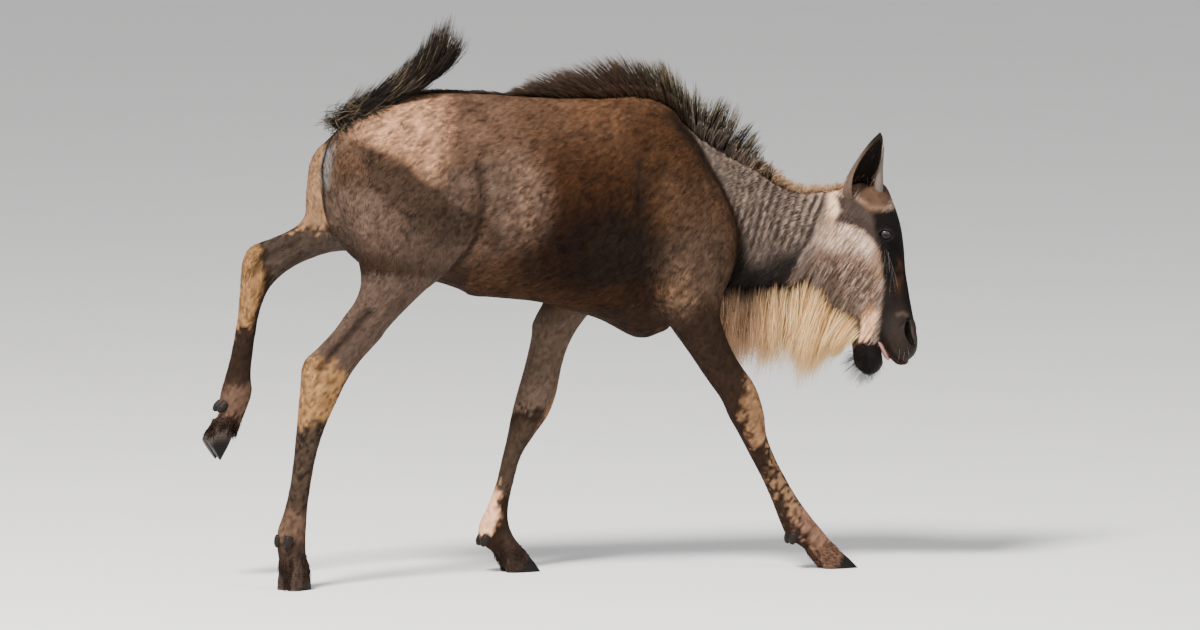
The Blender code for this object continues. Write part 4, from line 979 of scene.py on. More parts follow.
# The rear and lower edge of the cheek's longer fur
CHEEK_EDGE = [(0.530, 0.700), (0.514, 0.675), (0.500, 0.653), (0.488, 0.632), (0.496, 0.606), (0.515, 0.588)]
CHEEK_EDGE += [(0.535, 0.560), (0.560, 0.535), (0.585, 0.510)]
NOSTRIL_LINE = [(0.700, 0.502), (0.6985, 0.490), (0.701, 0.474), (0.707, 0.458), (0.713, 0.451)]
MOUTH_PATCH = [(0.612, 0.530), (0.630, 0.540), (0.640, 0.516), (0.632, 0.485), (0.628, 0.467), (0.612, 0.450)]
MOUTH_PATCH += [(0.601, 0.456), (0.606, 0.485)]
SHOULDER_LINE = [(0.205, 0.910), (0.258, 0.849), (0.301, 0.777), (0.333, 0.716), (0.344, 0.666)]
SHOULDER_LINE += [(0.322, 0.596), (0.295, 0.537)]
CROUP = [(-0.47, 0.90), (-0.40, 0.98), (-0.265, 0.98), (-0.290, 0.90), (-0.305, 0.850), (-0.325, 0.810)]
CROUP += [(-0.350, 0.815), (-0.400, 0.850), (-0.445, 0.868)]
TAIL_SHADE = [(-0.480, 0.880), (-0.445, 0.872), (-0.405, 0.852), (-0.357, 0.812), (-0.294, 0.764), (-0.243, 0.735)]
TAIL_SHADE += [(-0.238, 0.705), (-0.275, 0.680), (-0.330, 0.695), (-0.400, 0.735), (-0.470, 0.800)]
EAR_SHADE_AREA = [(0.554, 0.752), (0.566, 0.722), (0.551, 0.701), (0.584, 0.695), (0.612, 0.684), (0.641, 0.650)]
EAR_SHADE_AREA += [(0.650, 0.690), (0.640, 0.722), (0.609, 0.738), (0.585, 0.750)]
CHEEK_BRIGHT = [(0.534, 0.704), (0.555, 0.705), (0.591, 0.690), (0.620, 0.675), (0.640, 0.646), (0.622, 0.628)]
CHEEK_BRIGHT += [(0.591, 0.648), (0.555, 0.648), (0.530, 0.655), (0.518, 0.675)]
FLANK = [(-0.235, 0.87), (-0.15, 0.86), (-0.115, 0.78), (-0.145, 0.69), (-0.21, 0.65), (-0.238, 0.75)]
HAUNCH = [(-0.54, 0.80), (-0.35, 0.82), (-0.25, 0.79), (-0.24, 0.66), (-0.32, 0.58), (-0.48, 0.58), (-0.54, 0.70)]
# The dark band under the throat: partly the coat's own grey-brown, partly a painted shadow of the head
THROAT_AND_SHADOW_AREA = [(0.503, 0.685), (0.492, 0.655), (0.468, 0.640), (0.425, 0.622), (0.378, 0.612), (0.352, 0.640)]
THROAT_AND_SHADOW_AREA += [(0.355, 0.690), (0.320, 0.720), (0.290, 0.60), (0.30, 0.50), (0.46, 0.50), (0.50, 0.61)]
NECK_AREA = [(0.20, 0.98), (0.262, 0.855), (0.305, 0.780), (0.338, 0.716), (0.350, 0.666), (0.330, 0.596)]
NECK_AREA += [(0.300, 0.50), (0.80, 0.40), (0.80, 0.98)]
STRIPE_SPACING = 0.0175
STRIPE_SLANT = 0.33


def blend(colours, mask, colour):
    mask = np.clip(mask, 0, 1)[:, None]
    return colours * (1 - mask) + np.asarray(colour) * mask


def trunk_colours(x, y, z, straight):
    fur = grain(straight, 205, 0.018, 0.0050, 3)
    fine = grain(straight, 212, 0.009, 0.0026, 21)
    cloud = waves(straight, 0.045, 4)
    colours = np.tile(np.asarray(WARM), (len(x), 1))
    # Lighter along the back, darker over the ribs and darkest low on them: partly the coat's own colour, partly painted
    # light from above and painted shade below
    colours = blend(colours, smooth_step((z - 0.82) / 0.09) * smooth_step((0.30 - x) / 0.1), BACK_BROWN)
    colours = blend(colours, spot(x, z, 0.00, 0.745, 0.15, 0.14, 1.5), RIB_BROWN)
    colours = blend(colours, spot(x, z, 0.02, 0.665, 0.16, 0.10, 1.5), LOW_RIB)
    colours = blend(colours, smooth_step((-0.12 - x) / 0.10) * smooth_step((z - 0.80) / 0.09), LOIN)
    colours = blend(colours, inside(x + 0.02 * cloud, z, FLANK, 0.11), FLANK_GREY)
    colours = blend(colours, 0.75 * spot(x, z, -0.135, 0.768, 0.044, 0.075, 1.7) * (0.8 + 0.6 * fur), GREY_FAWN)
    colours = blend(colours, inside(x, z, HAUNCH, 0.08), THIGH)
    colours = blend(colours, 0.8 * spot(x, z, -0.29, 0.79, 0.07, 0.05, 1.0), HAUNCH_BROWN)
    colours = blend(colours, inside(x, z, CROUP, 0.075) * (0.76 + 0.3 * fur + 0.1 * cloud), FAWN)
    colours = blend(colours, 0.8 * spot(x, z, -0.205, 0.920, 0.055, 0.075, 1.4), LOIN)
    # Darker low ribs and thigh: partly the coat's own darker brown, partly painted shade
    darker = 0.36 * spot(x, z, -0.020, 0.600, 0.140, 0.120, 0.9) + 0.34 * spot(x, z, -0.336, 0.706, 0.060, 0.060, 0.9)
    colours = colours * (1 - darker[:, None])
    colours = blend(colours, 0.85 * inside(x, z, TAIL_SHADE, 0.020 + 0.030 * smooth_step((0.74 - z) / 0.06)), THIGH_SHADE)
    colours = blend(colours, 0.9 * spot(x, z, 0.09, 0.930, 0.11, 0.040, 0.9), WITHER_BROWN)
    colours = blend(colours, spot(x, z, 0.21, 0.80, 0.11, 0.14, 0.9), SHOULDER)
    colours = blend(colours, 0.9 * spot(x, z, 0.150, 0.870, 0.07, 0.055, 0.9), RED_BROWN)
    colours = blend(colours, 0.9 * spot(x, z, 0.255, 0.725, 0.060, 0.070, 1.0), SHOULDER_LOW)
    colours = blend(colours, 0.9 * spot(x, z, 0.225, 0.620, 0.080, 0.085, 0.9), ARM_BROWN)
    colours = blend(colours, 0.6 * spot(x, z, 0.180, 0.760, 0.030, 0.050, 1.0) * (0.8 + 0.6 * fur), SHOULDER_LOW)
    # Painted shade in the armpit behind the elbow
    colours = blend(colours, 0.9 * spot(x, z, 0.075, 0.625, 0.080, 0.10, 0.9), PAINTED_SHADE)
    # Darker under the belly: its own dark coat with painted shade over it
    colours = blend(colours, smooth_step((0.600 + 0.10 * np.abs(x) - z) / 0.06) * (x < 0.20), BELLY)
    colours = blend(colours, 0.9 * spot(x, z, 0.15, 0.50, 0.15, 0.055, 0.8), BRISKET)
    colours = blend(colours, 0.60 * spot(x, z, 0.190, 0.556, 0.030, 0.050, 1.7) * (0.85 + 0.5 * fur), ELBOW_GOLD)
    # Painted shade along the shoulder's edge, the rear edge of the near foreleg's upper part and the front edges of the
    # thighs
    colours = blend(colours, 0.85 * nearness(x, z, SHOULDER_LINE, 0.014), PAINTED_SHADE)
    near_side = y < 0
    colours = blend(colours, 0.75 * nearness(x, z, leg_line("fore_right", 1.05, (1, 6)), 0.012) * near_side, PAINTED_SHADE)
    colours = blend(colours, 0.75 * nearness(x, z, leg_line("hind_right", -0.03, (1, 6)), 0.008) * near_side, PAINTED_SHADE)
    colours = blend(colours, 0.75 * nearness(x, z, leg_line("hind_left", -0.03, (2, 6)), 0.008) * ~near_side, PAINTED_SHADE)
    stripe = smooth_step((0.013 - np.abs(y) + 0.003 * fur) / 0.007) * (z > 0.90) * smooth_step((0.25 - x) / 0.05)
    colours = blend(colours, stripe, DORSAL)
    rear = smooth_step((0.034 - np.abs(y) - 0.006 * fur) / 0.012) * smooth_step((-0.480 - x) / 0.015)
    rear *= spot(x, z, -0.51, 0.832, 0.06, 0.042, 0.7)
    colours = blend(colours, rear, WHITE_GREY)
    # Painted shade in the crease under the tail
    seam = smooth_step((0.007 - np.abs(y)) / 0.005) * (x < -0.47) * (z > 0.74)
    colours = blend(colours, seam, PAINTED_SHADE)
    return colours * np.clip(1 + 0.36 * fur + 0.30 * fine + 0.16 * cloud, 0.25, 2.2)[:, None]


def neck_colours(x, y, z, straight):
    fur = grain(straight, 250, 0.018, 0.0040, 7)
    colours = np.tile(np.asarray(NECK_BROWN), (len(x), 1)) * (1 + 0.30 * fur)[:, None]
    wander = 0.0040 * waves(straight * [1, 1, 0.4], 0.060, 5) + 0.0011 * waves(straight * [1, 1, 0.3], 0.018, 6)
    bands = np.sin(2 * math.pi * (x - STRIPE_SLANT * (z - 0.75) + wander) / STRIPE_SPACING)
    along_neck = smooth_step((x - 0.300) / 0.04) * smooth_step((0.560 - x) / 0.02)
    reach = along_neck * smooth_step((z - 0.630 - 0.03 * waves(straight, 0.05, 8)) / 0.05)
    broken = 0.85 + 0.35 * waves(straight * [1, 1, 0.5], 0.025, 9)
    colours = blend(colours, 0.80 * reach * broken * smooth_step((-bands + 0.30 * fur - 0.05) / 0.6), NECK_PALE)
    colours = blend(colours, 0.90 * reach * smooth_step((bands + 0.30 * fur - 0.15) / 0.5), NECK_DARK)
    colours = blend(colours, 0.45 * smooth_step((fur - 0.1) / 0.6) * (1 - reach), NECK_PALE)
    crest = np.interp(x, [0.25, 0.30, 0.36, 0.42, 0.50], [0.895, 0.855, 0.825, 0.795, 0.765])
    top = smooth_step((z - crest + 0.018 + 0.010 * fur) / 0.022) * smooth_step((x - 0.300) / 0.05)
    colours = blend(colours, 0.75 * top * (0.8 + 0.5 * fur), NECK_CREST)
    # Dark throat, partly the coat's own colour and partly a painted shadow of the head
    colours = blend(colours, 0.95 * inside(x, z, THROAT_AND_SHADOW_AREA, 0.040), THROAT)
    # Painted shade at the base of the neck behind the shoulder
    return blend(colours, spot(x, z, 0.325, 0.625, 0.035, 0.055, 0.9), NECK_BASE_SHADE)


def head_colours(x, y, z, straight):
    hairs = grain(straight, 236, 0.030, 0.0026, 12)
    gold = grain(straight, 236, 0.045, 0.0075, 11)
    patches = waves(straight, 0.030, 13)
    colours = np.tile(np.asarray(CHEEK_MIXED), (len(x), 1))
    colours = blend(colours, smooth_step((gold - 0.05) / 0.5) * 0.8, CHEEK_TAN)
    colours = blend(colours, smooth_step((hairs - 0.10) / 0.5) * 0.9, CHEEK_PALE)
    brown = 0.55 + 0.45 * spot(x, z, 0.600, 0.605, 0.060, 0.045, 0.8)
    colours = blend(colours, smooth_step((-hairs - 0.08) / 0.5) * brown, CHEEK_BROWN)
    colours = blend(colours, 0.75 * nearness(x, z, CHEEK_EDGE[:6], 0.016) * (0.9 + 0.5 * hairs), CHEEK_RIM)
    colours = blend(colours, inside(x, z, CHEEK_BRIGHT, 0.034) * (0.78 + 0.6 * hairs), CHEEK_WHITE)
    colours = blend(colours, 0.6 * spot(x, z, 0.638, 0.612, 0.014, 0.034, 0.7) * (0.9 + 0.5 * hairs), CHEEK_TAN)
    colours = blend(colours, 0.6 * spot(x, z, 0.625, 0.560, 0.024, 0.030, 0.8) * (0.8 - 0.6 * hairs), CHEEK_BROWN)
    # Pale fur behind the ear, made brighter by a painted highlight
    colours = blend(colours, spot(x, z, 0.549, 0.733, 0.014, 0.038, 0.7) * (0.9 + 0.3 * hairs), BEIGE_AND_HIGHLIGHT)
    colours = blend(colours, 0.7 * spot(x, z, 0.525, 0.740, 0.016, 0.040, 0.9), NECK_BROWN)
    colours = blend(colours, 0.94 * inside(x, z, EAR_SHADE_AREA, 0.012 + 0.003 * hairs), EAR_SHADE)
    colours = blend(colours, inside(x, z, BLAZE, 0.014 + 0.006 * hairs), BLACK_FACE)
    away = np.hypot((x - EYE[0]) / 0.0150, (z - EYE[2] + 0.001) / 0.0118)
    above = 0.25 + 0.75 * smooth_step((z - EYE[2] + 0.002) / 0.008)
    colours = blend(colours, 0.40 * above * np.exp(-(((away - 1.08) / 0.16) ** 2)) * (np.abs(y) > 0.03), LID)
    colours = blend(colours, 0.7 * spot(x, z, 0.668, 0.530, 0.022, 0.045, 0.9), FACE_GREY)
    colours = blend(colours, 0.9 * spot(x, z, 0.690, 0.470, 0.036, 0.055, 0.7), MUZZLE)
    colours = blend(colours, 0.8 * spot(x, z, 0.682, 0.590, 0.010, 0.036, 1.0) * (0.6 + 0.9 * patches), RUST)
    mound = spot(x, z, 0.635, 0.757, 0.034, 0.036, 0.4)
    colours = blend(colours, mound, MOUND)
    colours = blend(colours, 0.5 * mound * smooth_step(patches + 0.3 * hairs), MOUND_DARK)
    colours = blend(colours, 0.4 * mound * spot(x, z, 0.618, 0.748, 0.014, 0.012, 0.8), MOUND_DARK)
    # Paler fur along the mound's lower edge, with a painted highlight on it
    rim = nearness(x, z, [(0.605, 0.745), (0.627, 0.729), (0.649, 0.729)], 0.0045)
    colours = blend(colours, 0.40 * rim * (0.6 + 0.6 * patches + 0.4 * hairs), MOUND_PALE_AND_HIGHLIGHT)
    colours = blend(colours, spot(x, z, 0.565, 0.775, 0.035, 0.014, 0.8), POLL_TAN)
    sides = smooth_step(np.abs(y) / 0.018)
    patch = inside(x, z, MOUTH_PATCH, 0.008) * sides
    colours = blend(colours, patch * (0.70 + 0.4 * hairs), PATCH_TAN)
    colours = blend(colours, patch * smooth_step((0.530 - z) / 0.030) * (0.55 + 0.5 * hairs), PATCH_PALE)
    jaw = spot(x, z, 0.592, 0.470, 0.017, 0.028, 0.6)
    colours = blend(colours, jaw * (1 - patch), CHEEK_FRINGE)
    chin = spot(x, z, 0.620, 0.421 - 0.006 * hairs, 0.040, 0.036, 0.25)
    colours = blend(colours, chin, BLACK_FACE)
    # Painted shade inside each nostril, near black
    nostril = nearness(x, z, NOSTRIL_LINE, 0.0052) * (x > 0.66)
    colours = blend(colours, smooth_step((nostril - 0.40) / 0.15), (0.0020, 0.0015, 0.0015))
    # Grey skin on the bulge above the nostril and on its inner flap, lightened further by painted highlights
    fold = nearness(x, z, [(0.680, 0.512), (0.690, 0.515), (0.697, 0.510)], 0.0045)
    fold = np.maximum(fold, nearness(x, z, [(0.7085, 0.486), (0.7095, 0.474), (0.7125, 0.464)], 0.0022))
    colours = blend(colours, 0.75 * fold, NOSTRIL_FOLD_AND_HIGHLIGHT)
    lip = nearness(x, z, [(0.655, 0.430), (0.664, 0.415), (0.690, 0.415)], 0.006)
    colours = blend(colours, 0.8 * lip, LIP_BROWN)
    front = smooth_step((0.024 - np.abs(y)) / 0.010) * smooth_step((x - 0.625) / 0.02)
    return blend(colours, front * smooth_step((0.735 - z) / 0.02) * (z > 0.43), BLACK_FACE)


# On each leg: an outline in side view, its colour, the share of dark specks in it
LEG_PATCHES = {
    "fore_right": [
        ([(0.335, 0.400), (0.385, 0.368), (0.418, 0.285), (0.352, 0.248), (0.328, 0.325)], KNEE_TAN, 0.35),
        ([(0.378, 0.288), (0.442, 0.250), (0.492, 0.165), (0.510, 0.108), (0.438, 0.098), (0.388, 0.181)], TAN_GREY, 0.60),
        ([(0.440, 0.118), (0.510, 0.112), (0.530, 0.070), (0.460, 0.070)], FOOT_PALE, 0.25),
        ([(0.470, 0.078), (0.535, 0.070), (0.600, 0.020), (0.500, -0.02)], FOOT_PALE, 0.40),
    ],
    "fore_left": [
        ([(0.150, 0.60), (-0.02, 0.60), (-0.10, 0.33), (0.02, 0.33)], FORE_GREY, 0.0),
        ([(-0.012, 0.350), (0.000, 0.311), (-0.024, 0.285), (-0.062, 0.272), (-0.045, 0.300)], TAN_GREY, 0.15),
        ([(-0.020, 0.300), (-0.100, 0.300), (-0.200, 0.170), (-0.060, 0.150)], CANNON_BROWN, 0.15),
        ([(-0.130, 0.168), (-0.135, 0.104), (-0.150, 0.080), (-0.195, 0.070), (-0.190, 0.130)], PALE_TAN, 0.10),
        ([(-0.020, 0.085), (-0.120, 0.090), (-0.140, -0.02), (-0.020, -0.02)], FOOT_BROWN, 0.10),
    ],
    "hind_right": [
        ([(-0.30, 0.62), (-0.50, 0.62), (-0.60, 0.45), (-0.50, 0.40)], SHANK, 0.0),
        ([(-0.630, 0.462), (-0.570, 0.465), (-0.512, 0.430), (-0.528, 0.385), (-0.545, 0.318), (-0.640, 0.330)], TAN, 0.40),
        ([(-0.540, 0.330), (-0.640, 0.330), (-0.650, 0.160), (-0.550, 0.160)], CANNON_BROWN, 0.65),
        ([(-0.550, 0.155), (-0.680, 0.155), (-0.680, 0.100), (-0.550, 0.100)], FETLOCK, 0.35),
        ([(-0.550, 0.098), (-0.680, 0.098), (-0.680, -0.02), (-0.550, -0.02)], RED_PASTERN, 0.45),
    ],
    "hind_left": [
        ([(-0.555, 0.90), (-0.500, 0.88), (-0.505, 0.76), (-0.560, 0.76)], TAN_GREY, 0.0),
        ([(-0.490, 0.780), (-0.500, 0.700), (-0.570, 0.700), (-0.600, 0.760)], TAN_GREY, 0.0),
        ([(-0.46, 0.70), (-0.46, 0.62), (-0.60, 0.60), (-0.62, 0.68)], LEG_GREY, 0.05),
        ([(-0.700, 0.690), (-0.630, 0.680), (-0.622, 0.600), (-0.655, 0.490), (-0.700, 0.530)], TAN, 0.35),
        ([(-0.630, 0.500), (-0.700, 0.500), (-0.730, 0.380), (-0.640, 0.390)], LEG_BROWN, 0.35),
        ([(-0.630, 0.395), (-0.740, 0.395), (-0.750, 0.330), (-0.650, 0.330)], FETLOCK, 0.30),
    ],
}


def leg_colours(colours, x, y, z, straight, low):
    """Lays the legs' own colours over the trunk's, on the side that each leg is on."""
    specks = waves(straight, 0.0065, 31) + 0.6 * waves(straight, 0.0035, 32)
    streaks = grain(straight, 282, 0.010, 0.0028, 33)
    wander = 0.010 * waves(straight, 0.022, 34) + 0.006 * specks
    edge_x, edge_z = x + 0.7 * wander, z + wander + 0.008 * streaks
    colours = blend(colours, low, LEG_BROWN)
    for leg, patches in LEG_PATCHES.items():
        side = (y > 0) == (LEGS[leg]["middle"] > 0)
        for outline, colour, dark in patches:
            here = inside(edge_x, edge_z, outline, 0.013) * side * low
            colours = blend(colours, here * (0.92 + 0.08 * specks), colour)
            colours = blend(colours, here * dark * smooth_step((specks - 0.20) / 0.35) * 1.7, SPECK)
        if leg.startswith("hind"):
            # Painted shade in the hollow above each hind hock, in the colour of the specks
            hollow = nearness(x, z, leg_line(leg, 0.70, (6, 10)), 0.010) * side
            colours = blend(colours, 0.75 * hollow, SPECK)
    return colours * (1 + low * np.clip(0.30 * streaks + 0.10 * specks, -0.6, 0.8))[:, None]


def coat_colours(straight):
    """The coat's colour at each place of the straight animal, painted shade, shadows and highlights included, for the
    skin and the tufts alike.
    """
    x, y, z = straight.T
    colours = trunk_colours(x, y, z, straight)
    neck = inside(x, z, NECK_AREA, 0.012) * (z > 0.49)
    colours = colours * (1 - neck[:, None]) + neck_colours(x, y, z, straight) * neck[:, None]
    head = inside(x, z, HEAD_AREA, 0.010) * (z > 0.37)
    colours = colours * (1 - head[:, None]) + head_colours(x, y, z, straight) * head[:, None]
    hind = (x < -0.24) * smooth_step((0.66 - z + 0.35 * np.clip(-0.30 - x, 0, 0.2)) / 0.08)
    hind = np.maximum(hind, (x < -0.46) & (y > 0.03))
    fore = (x > -0.24) * smooth_step((0.545 - z) / 0.05) * (np.abs(y) > 0.042) * (x < 0.36)
    low = np.clip(hind + fore + (z < 0.37), 0, 1) * (1 - head)
    colours = leg_colours(colours, x, y, z, straight, low)
    shade = 1 + 0.08 * waves(straight, 0.05, 41) + 0.08 * waves(straight, 0.012, 42)
    return np.clip(colours * shade[:, None], 0.002, 0.95)


# Materials


class Value:
    """A socket of a material's nodes. Arithmetic on it adds the Math nodes that work it out."""

    def __init__(self, finish, socket):
        self.finish = finish
        self.socket = socket

    def reckoned(self, operation, first, second):
        return self.finish.add("ShaderNodeMath", {"operation": operation}, {0: first, 1: second})

    def __add__(self, other):
        return self.reckoned("ADD", self, other)

    def __radd__(self, other):
        return self.reckoned("ADD", other, self)

    def __sub__(self, other):
        return self.reckoned("SUBTRACT", self, other)

    def __rsub__(self, other):
        return self.reckoned("SUBTRACT", other, self)

    def __mul__(self, other):
        return self.reckoned("MULTIPLY", self, other)

    def __rmul__(self, other):
        return self.reckoned("MULTIPLY", other, self)


class Finish:
    """A procedural material on the Principled shader, with its constants set on the shader."""

    def __init__(self, name, **constants):
        self.material = bpy.data.materials.new(name)
        self.material.use_nodes = True
        self.tree = self.material.node_tree
        self.shader = self.tree.nodes["Principled BSDF"]
        for socket, number in constants.items():
            self.shader.inputs[socket.replace("_", " ")].default_value = number
        self.place = self.add("ShaderNodeTexCoord", output="Object")

    def add(self, kind, settings=None, sockets=None, output=0):
        """A node of this kind: its settings first, then the values or links of its sockets."""
        node = self.tree.nodes.new(kind)
        for name, setting in (settings or {}).items():
            if name == "stops":
                for i, (place, colour) in enumerate(setting):
                    stop = node.color_ramp.elements[i] if i < 2 else node.color_ramp.elements.new(place)
                    stop.position = place
                    stop.color = (*colour, 1)
            else:
                setattr(node, name, setting)
        for key, value in (sockets or {}).items():
            self.feed(node.inputs[key], value)
        return Value(self, node.outputs[output])

    def feed(self, socket, value):
        if isinstance(value, Value):
            self.tree.links.new(value.socket, socket)
        else:
            socket.default_value = value

    def colour(self, name="coat"):
        return self.add("ShaderNodeAttribute", {"attribute_name": name}, output="Color")

    def number(self, name):
        return self.add("ShaderNodeAttribute", {"attribute_name": name}, output="Fac")

    def stretched(self, scale):
        return self.add("ShaderNodeMapping", {}, {"Vector": self.place, "Scale": scale})

    def noise(self, scale, detail=3.0, place=None):
        sockets = {"Vector": place or self.place, "Scale": scale, "Detail": detail}
        return self.add("ShaderNodeTexNoise", {}, sockets)

    def mixed(self, factor, first, second, how="MIX"):
        settings = {"data_type": "RGBA", "blend_type": how}
        return self.add("ShaderNodeMix", settings, {0: factor, 6: first, 7: second}, output=2)

    def shaded(self, colour, amount):
        """A colour made lighter and darker by a number around 0.5."""
        grey = self.add("ShaderNodeCombineColor", {}, {0: amount, 1: amount, 2: amount})
        return self.mixed(1.0, colour, grey, "MULTIPLY")

    def set(self, socket, value):
        self.feed(self.shader.inputs[socket], value)

    def bumped(self, height, strength, distance):
        sockets = {"Height": height, "Strength": strength, "Distance": distance}
        self.set("Normal", self.add("ShaderNodeBump", {}, sockets))


def skin_finish():
    finish = Finish("skin", Specular_IOR_Level=0.08)
    bare = finish.number("bare")
    fine = finish.noise(520.0, 2.0)
    pebbles = finish.add("ShaderNodeTexVoronoi", {}, {"Vector": finish.place, "Scale": 760.0})
    finish.set("Base Color", finish.shaded(finish.colour(), 0.72 + 0.50 * fine))
    finish.set("Roughness", 0.82 - 0.36 * bare + 0.12 * fine)
    height = fine * (1 - bare) + bare * (1 - 1.4 * pebbles)
    finish.bumped(height, 0.55, 0.0009)
    return finish.material


def coat_finish():
    finish = Finish("coat", Specular_IOR_Level=0.06)
    cloud = finish.noise(60.0, 2.0)
    finish.set("Base Color", finish.shaded(finish.colour(), 0.80 + 0.40 * cloud))
    finish.set("Roughness", 0.58 + 0.12 * cloud)
    return finish.material


def hair_finish(name, roughness):
    finish = Finish(name, Specular_IOR_Level=0.18)
    strand_tone = finish.noise(340.0, 1.0)
    finish.set("Base Color", finish.shaded(finish.colour(), 0.70 + 0.60 * strand_tone))
    finish.set("Roughness", roughness + 0.15 * strand_tone)
    return finish.material


def horn_finish():
    finish = Finish("horn", Coat_Roughness=0.3)
    length_wise = finish.stretched((1.0, 1.0, 0.12))
    streaks = finish.noise(420.0, 3.0, length_wise)
    finish.set("Base Color", finish.shaded(finish.colour(), 0.65 + 0.65 * streaks))
    finish.set("Roughness", 0.36 + 0.25 * streaks)
    finish.set("Coat Weight", 0.15 * streaks)
    finish.bumped(streaks, 0.35, 0.0005)
    return finish.material


def hoof_finish():
    finish = Finish("hoof", Specular_IOR_Level=0.12)
    rings = finish.add(
        "ShaderNodeTexWave",
        {"bands_direction": "Z"},
        {"Vector": finish.place, "Scale": 55.0, "Distortion": 1.6, "Detail": 2.0, "Detail Scale": 2.0},
        output="Fac",
    )
    streaks = finish.noise(300.0, 3.0, finish.stretched((1.0, 1.0, 0.3)))
    finish.set("Base Color", finish.shaded(finish.colour(), 0.70 + 0.35 * streaks + 0.20 * rings))
    finish.set("Roughness", 0.42 + 0.25 * streaks)
    finish.bumped(rings * 0.6 + streaks * 0.4, 0.5, 0.0007)
    return finish.material


def eye_finish():
    finish = Finish("eye", Specular_IOR_Level=0.10, Coat_Roughness=0.03, Coat_IOR=1.3)
    veins = finish.noise(700.0, 2.0)
    finish.set("Base Color", finish.shaded(finish.colour(), 0.75 + 0.5 * veins))
    finish.set("Roughness", 0.16 + 0.05 * veins)
    finish.shader.inputs["Coat Weight"].default_value = 0.35
    return finish.material


def tongue_finish():
    finish = Finish("tongue", Coat_Weight=0.5, Coat_Roughness=0.15)
    buds = finish.add("ShaderNodeTexVoronoi", {}, {"Vector": finish.place, "Scale": 900.0})
    finish.set("Base Color", finish.shaded(finish.colour(), 1.15 - 0.45 * buds))
    finish.set("Roughness", 0.34 + 0.2 * buds)
    finish.bumped(1 - buds, 0.4, 0.0004)
    return finish.material


# Tufts and hairs


def triangles_of(thing):
    thing.data.calc_loop_triangles()
    corners = np.empty(len(thing.data.loop_triangles) * 3, np.int32)
    thing.data.loop_triangles.foreach_get("vertices", corners)
    return corners.reshape(-1, 3)


def unit(vectors):
    return vectors / (np.linalg.norm(vectors, axis=-1, keepdims=True) + 1e-12)


def roots_on(thing, per_area):
    """Random places on a mesh with their normals, so many to the square metre of each triangle."""
    corners = triangles_of(thing)
    points, normals = vertices(thing), vertex_normals(thing)
    a, b, c = (points[corners[:, i]] for i in range(3))
    crossed = np.cross(b - a, c - a)
    areas = np.linalg.norm(crossed, axis=1) / 2
    chosen = np.repeat(np.arange(len(corners)), rng.poisson(areas * per_area((a + b + c) / 3, unit(crossed))))
    one, two = rng.random(len(chosen)), rng.random(len(chosen))
    over = one + two > 1
    one, two = np.where(over, 1 - one, one), np.where(over, 1 - two, two)
    shares = np.stack([1 - one - two, one, two], 1)
    places = (points[corners[chosen]] * shares[:, :, None]).sum(1)
    ups = unit((normals[corners[chosen]] * shares[:, :, None]).sum(1))
    return places, ups


def blades(name, spines, half_widths, across, colours, places):
    """One mesh of closed tapering blades with three sides, each along its own spine."""
    count, steps = spines.shape[:2]
    ahead = unit(np.gradient(spines, axis=1))
    side = across[:, None, :]
    side = unit(side - ahead * (side * ahead).sum(2, keepdims=True))
    up = np.cross(ahead, side)
    rings = []
    for turn in (90, 210, 330):
        out = side * math.cos(math.radians(turn)) + up * (0.34 * math.sin(math.radians(turn)))
        rings.append(spines[:, :-1] + out[:, :-1] * half_widths[:, :, None])
    rings = np.stack(rings, 2).reshape(count, -1, 3)
    points = np.concatenate([rings, spines[:, -1:]], 1)
    per_blade = points.shape[1]
    faces = [(0, 2, 1)]
    for start in range(0, (steps - 2) * 3, 3):
        for j, k in ((0, 1), (1, 2), (2, 0)):
            faces.append((start + j, start + k, start + k + 3))
            faces.append((start + j, start + k + 3, start + j + 3))
    start = (steps - 2) * 3
    faces += [(start, start + 1, per_blade - 1), (start + 1, start + 2, per_blade - 1)]
    faces.append((start + 2, start, per_blade - 1))
    corners = ((np.arange(count) * per_blade)[:, None, None] + np.array(faces)).ravel()
    data = bpy.data.meshes.new(name)
    data.vertices.add(count * per_blade)
    data.vertices.foreach_set("co", points.astype(np.float32).ravel())
    data.loops.add(len(corners))
    data.loops.foreach_set("vertex_index", corners.astype(np.int32))
    data.polygons.add(len(corners) // 3)
    data.polygons.foreach_set("loop_start", np.arange(0, len(corners), 3, dtype=np.int32))
    data.update(calc_edges=True)
    thing = bpy.data.objects.new(name, data)
    bpy.context.scene.collection.objects.link(thing)
    tones = np.concatenate([np.repeat(colours[:, :-1], 3, axis=1), colours[:, -1:]], 1)
    set_colours(thing, "coat", tones.reshape(-1, 3))
    step = np.concatenate([np.repeat(np.arange(steps - 1), 3), [steps - 1]]) / (steps - 1)
    turn = np.concatenate([np.tile([0.0, 0.5, 1.0], steps - 1), [0.5]])
    patch = np.stack([turn, step], 1) * PATCH
    spread = (places[:, None, :] * (1 - PATCH) + patch[None]).reshape(-1, 2)
    layer = data.uv_layers.new(name="OFBake")
    layer.data.foreach_set("uv", spread[corners].astype(np.float32).ravel())
    return thing


# How wide each tuft's patch is on the unwrap of the skin
PATCH = 0.003


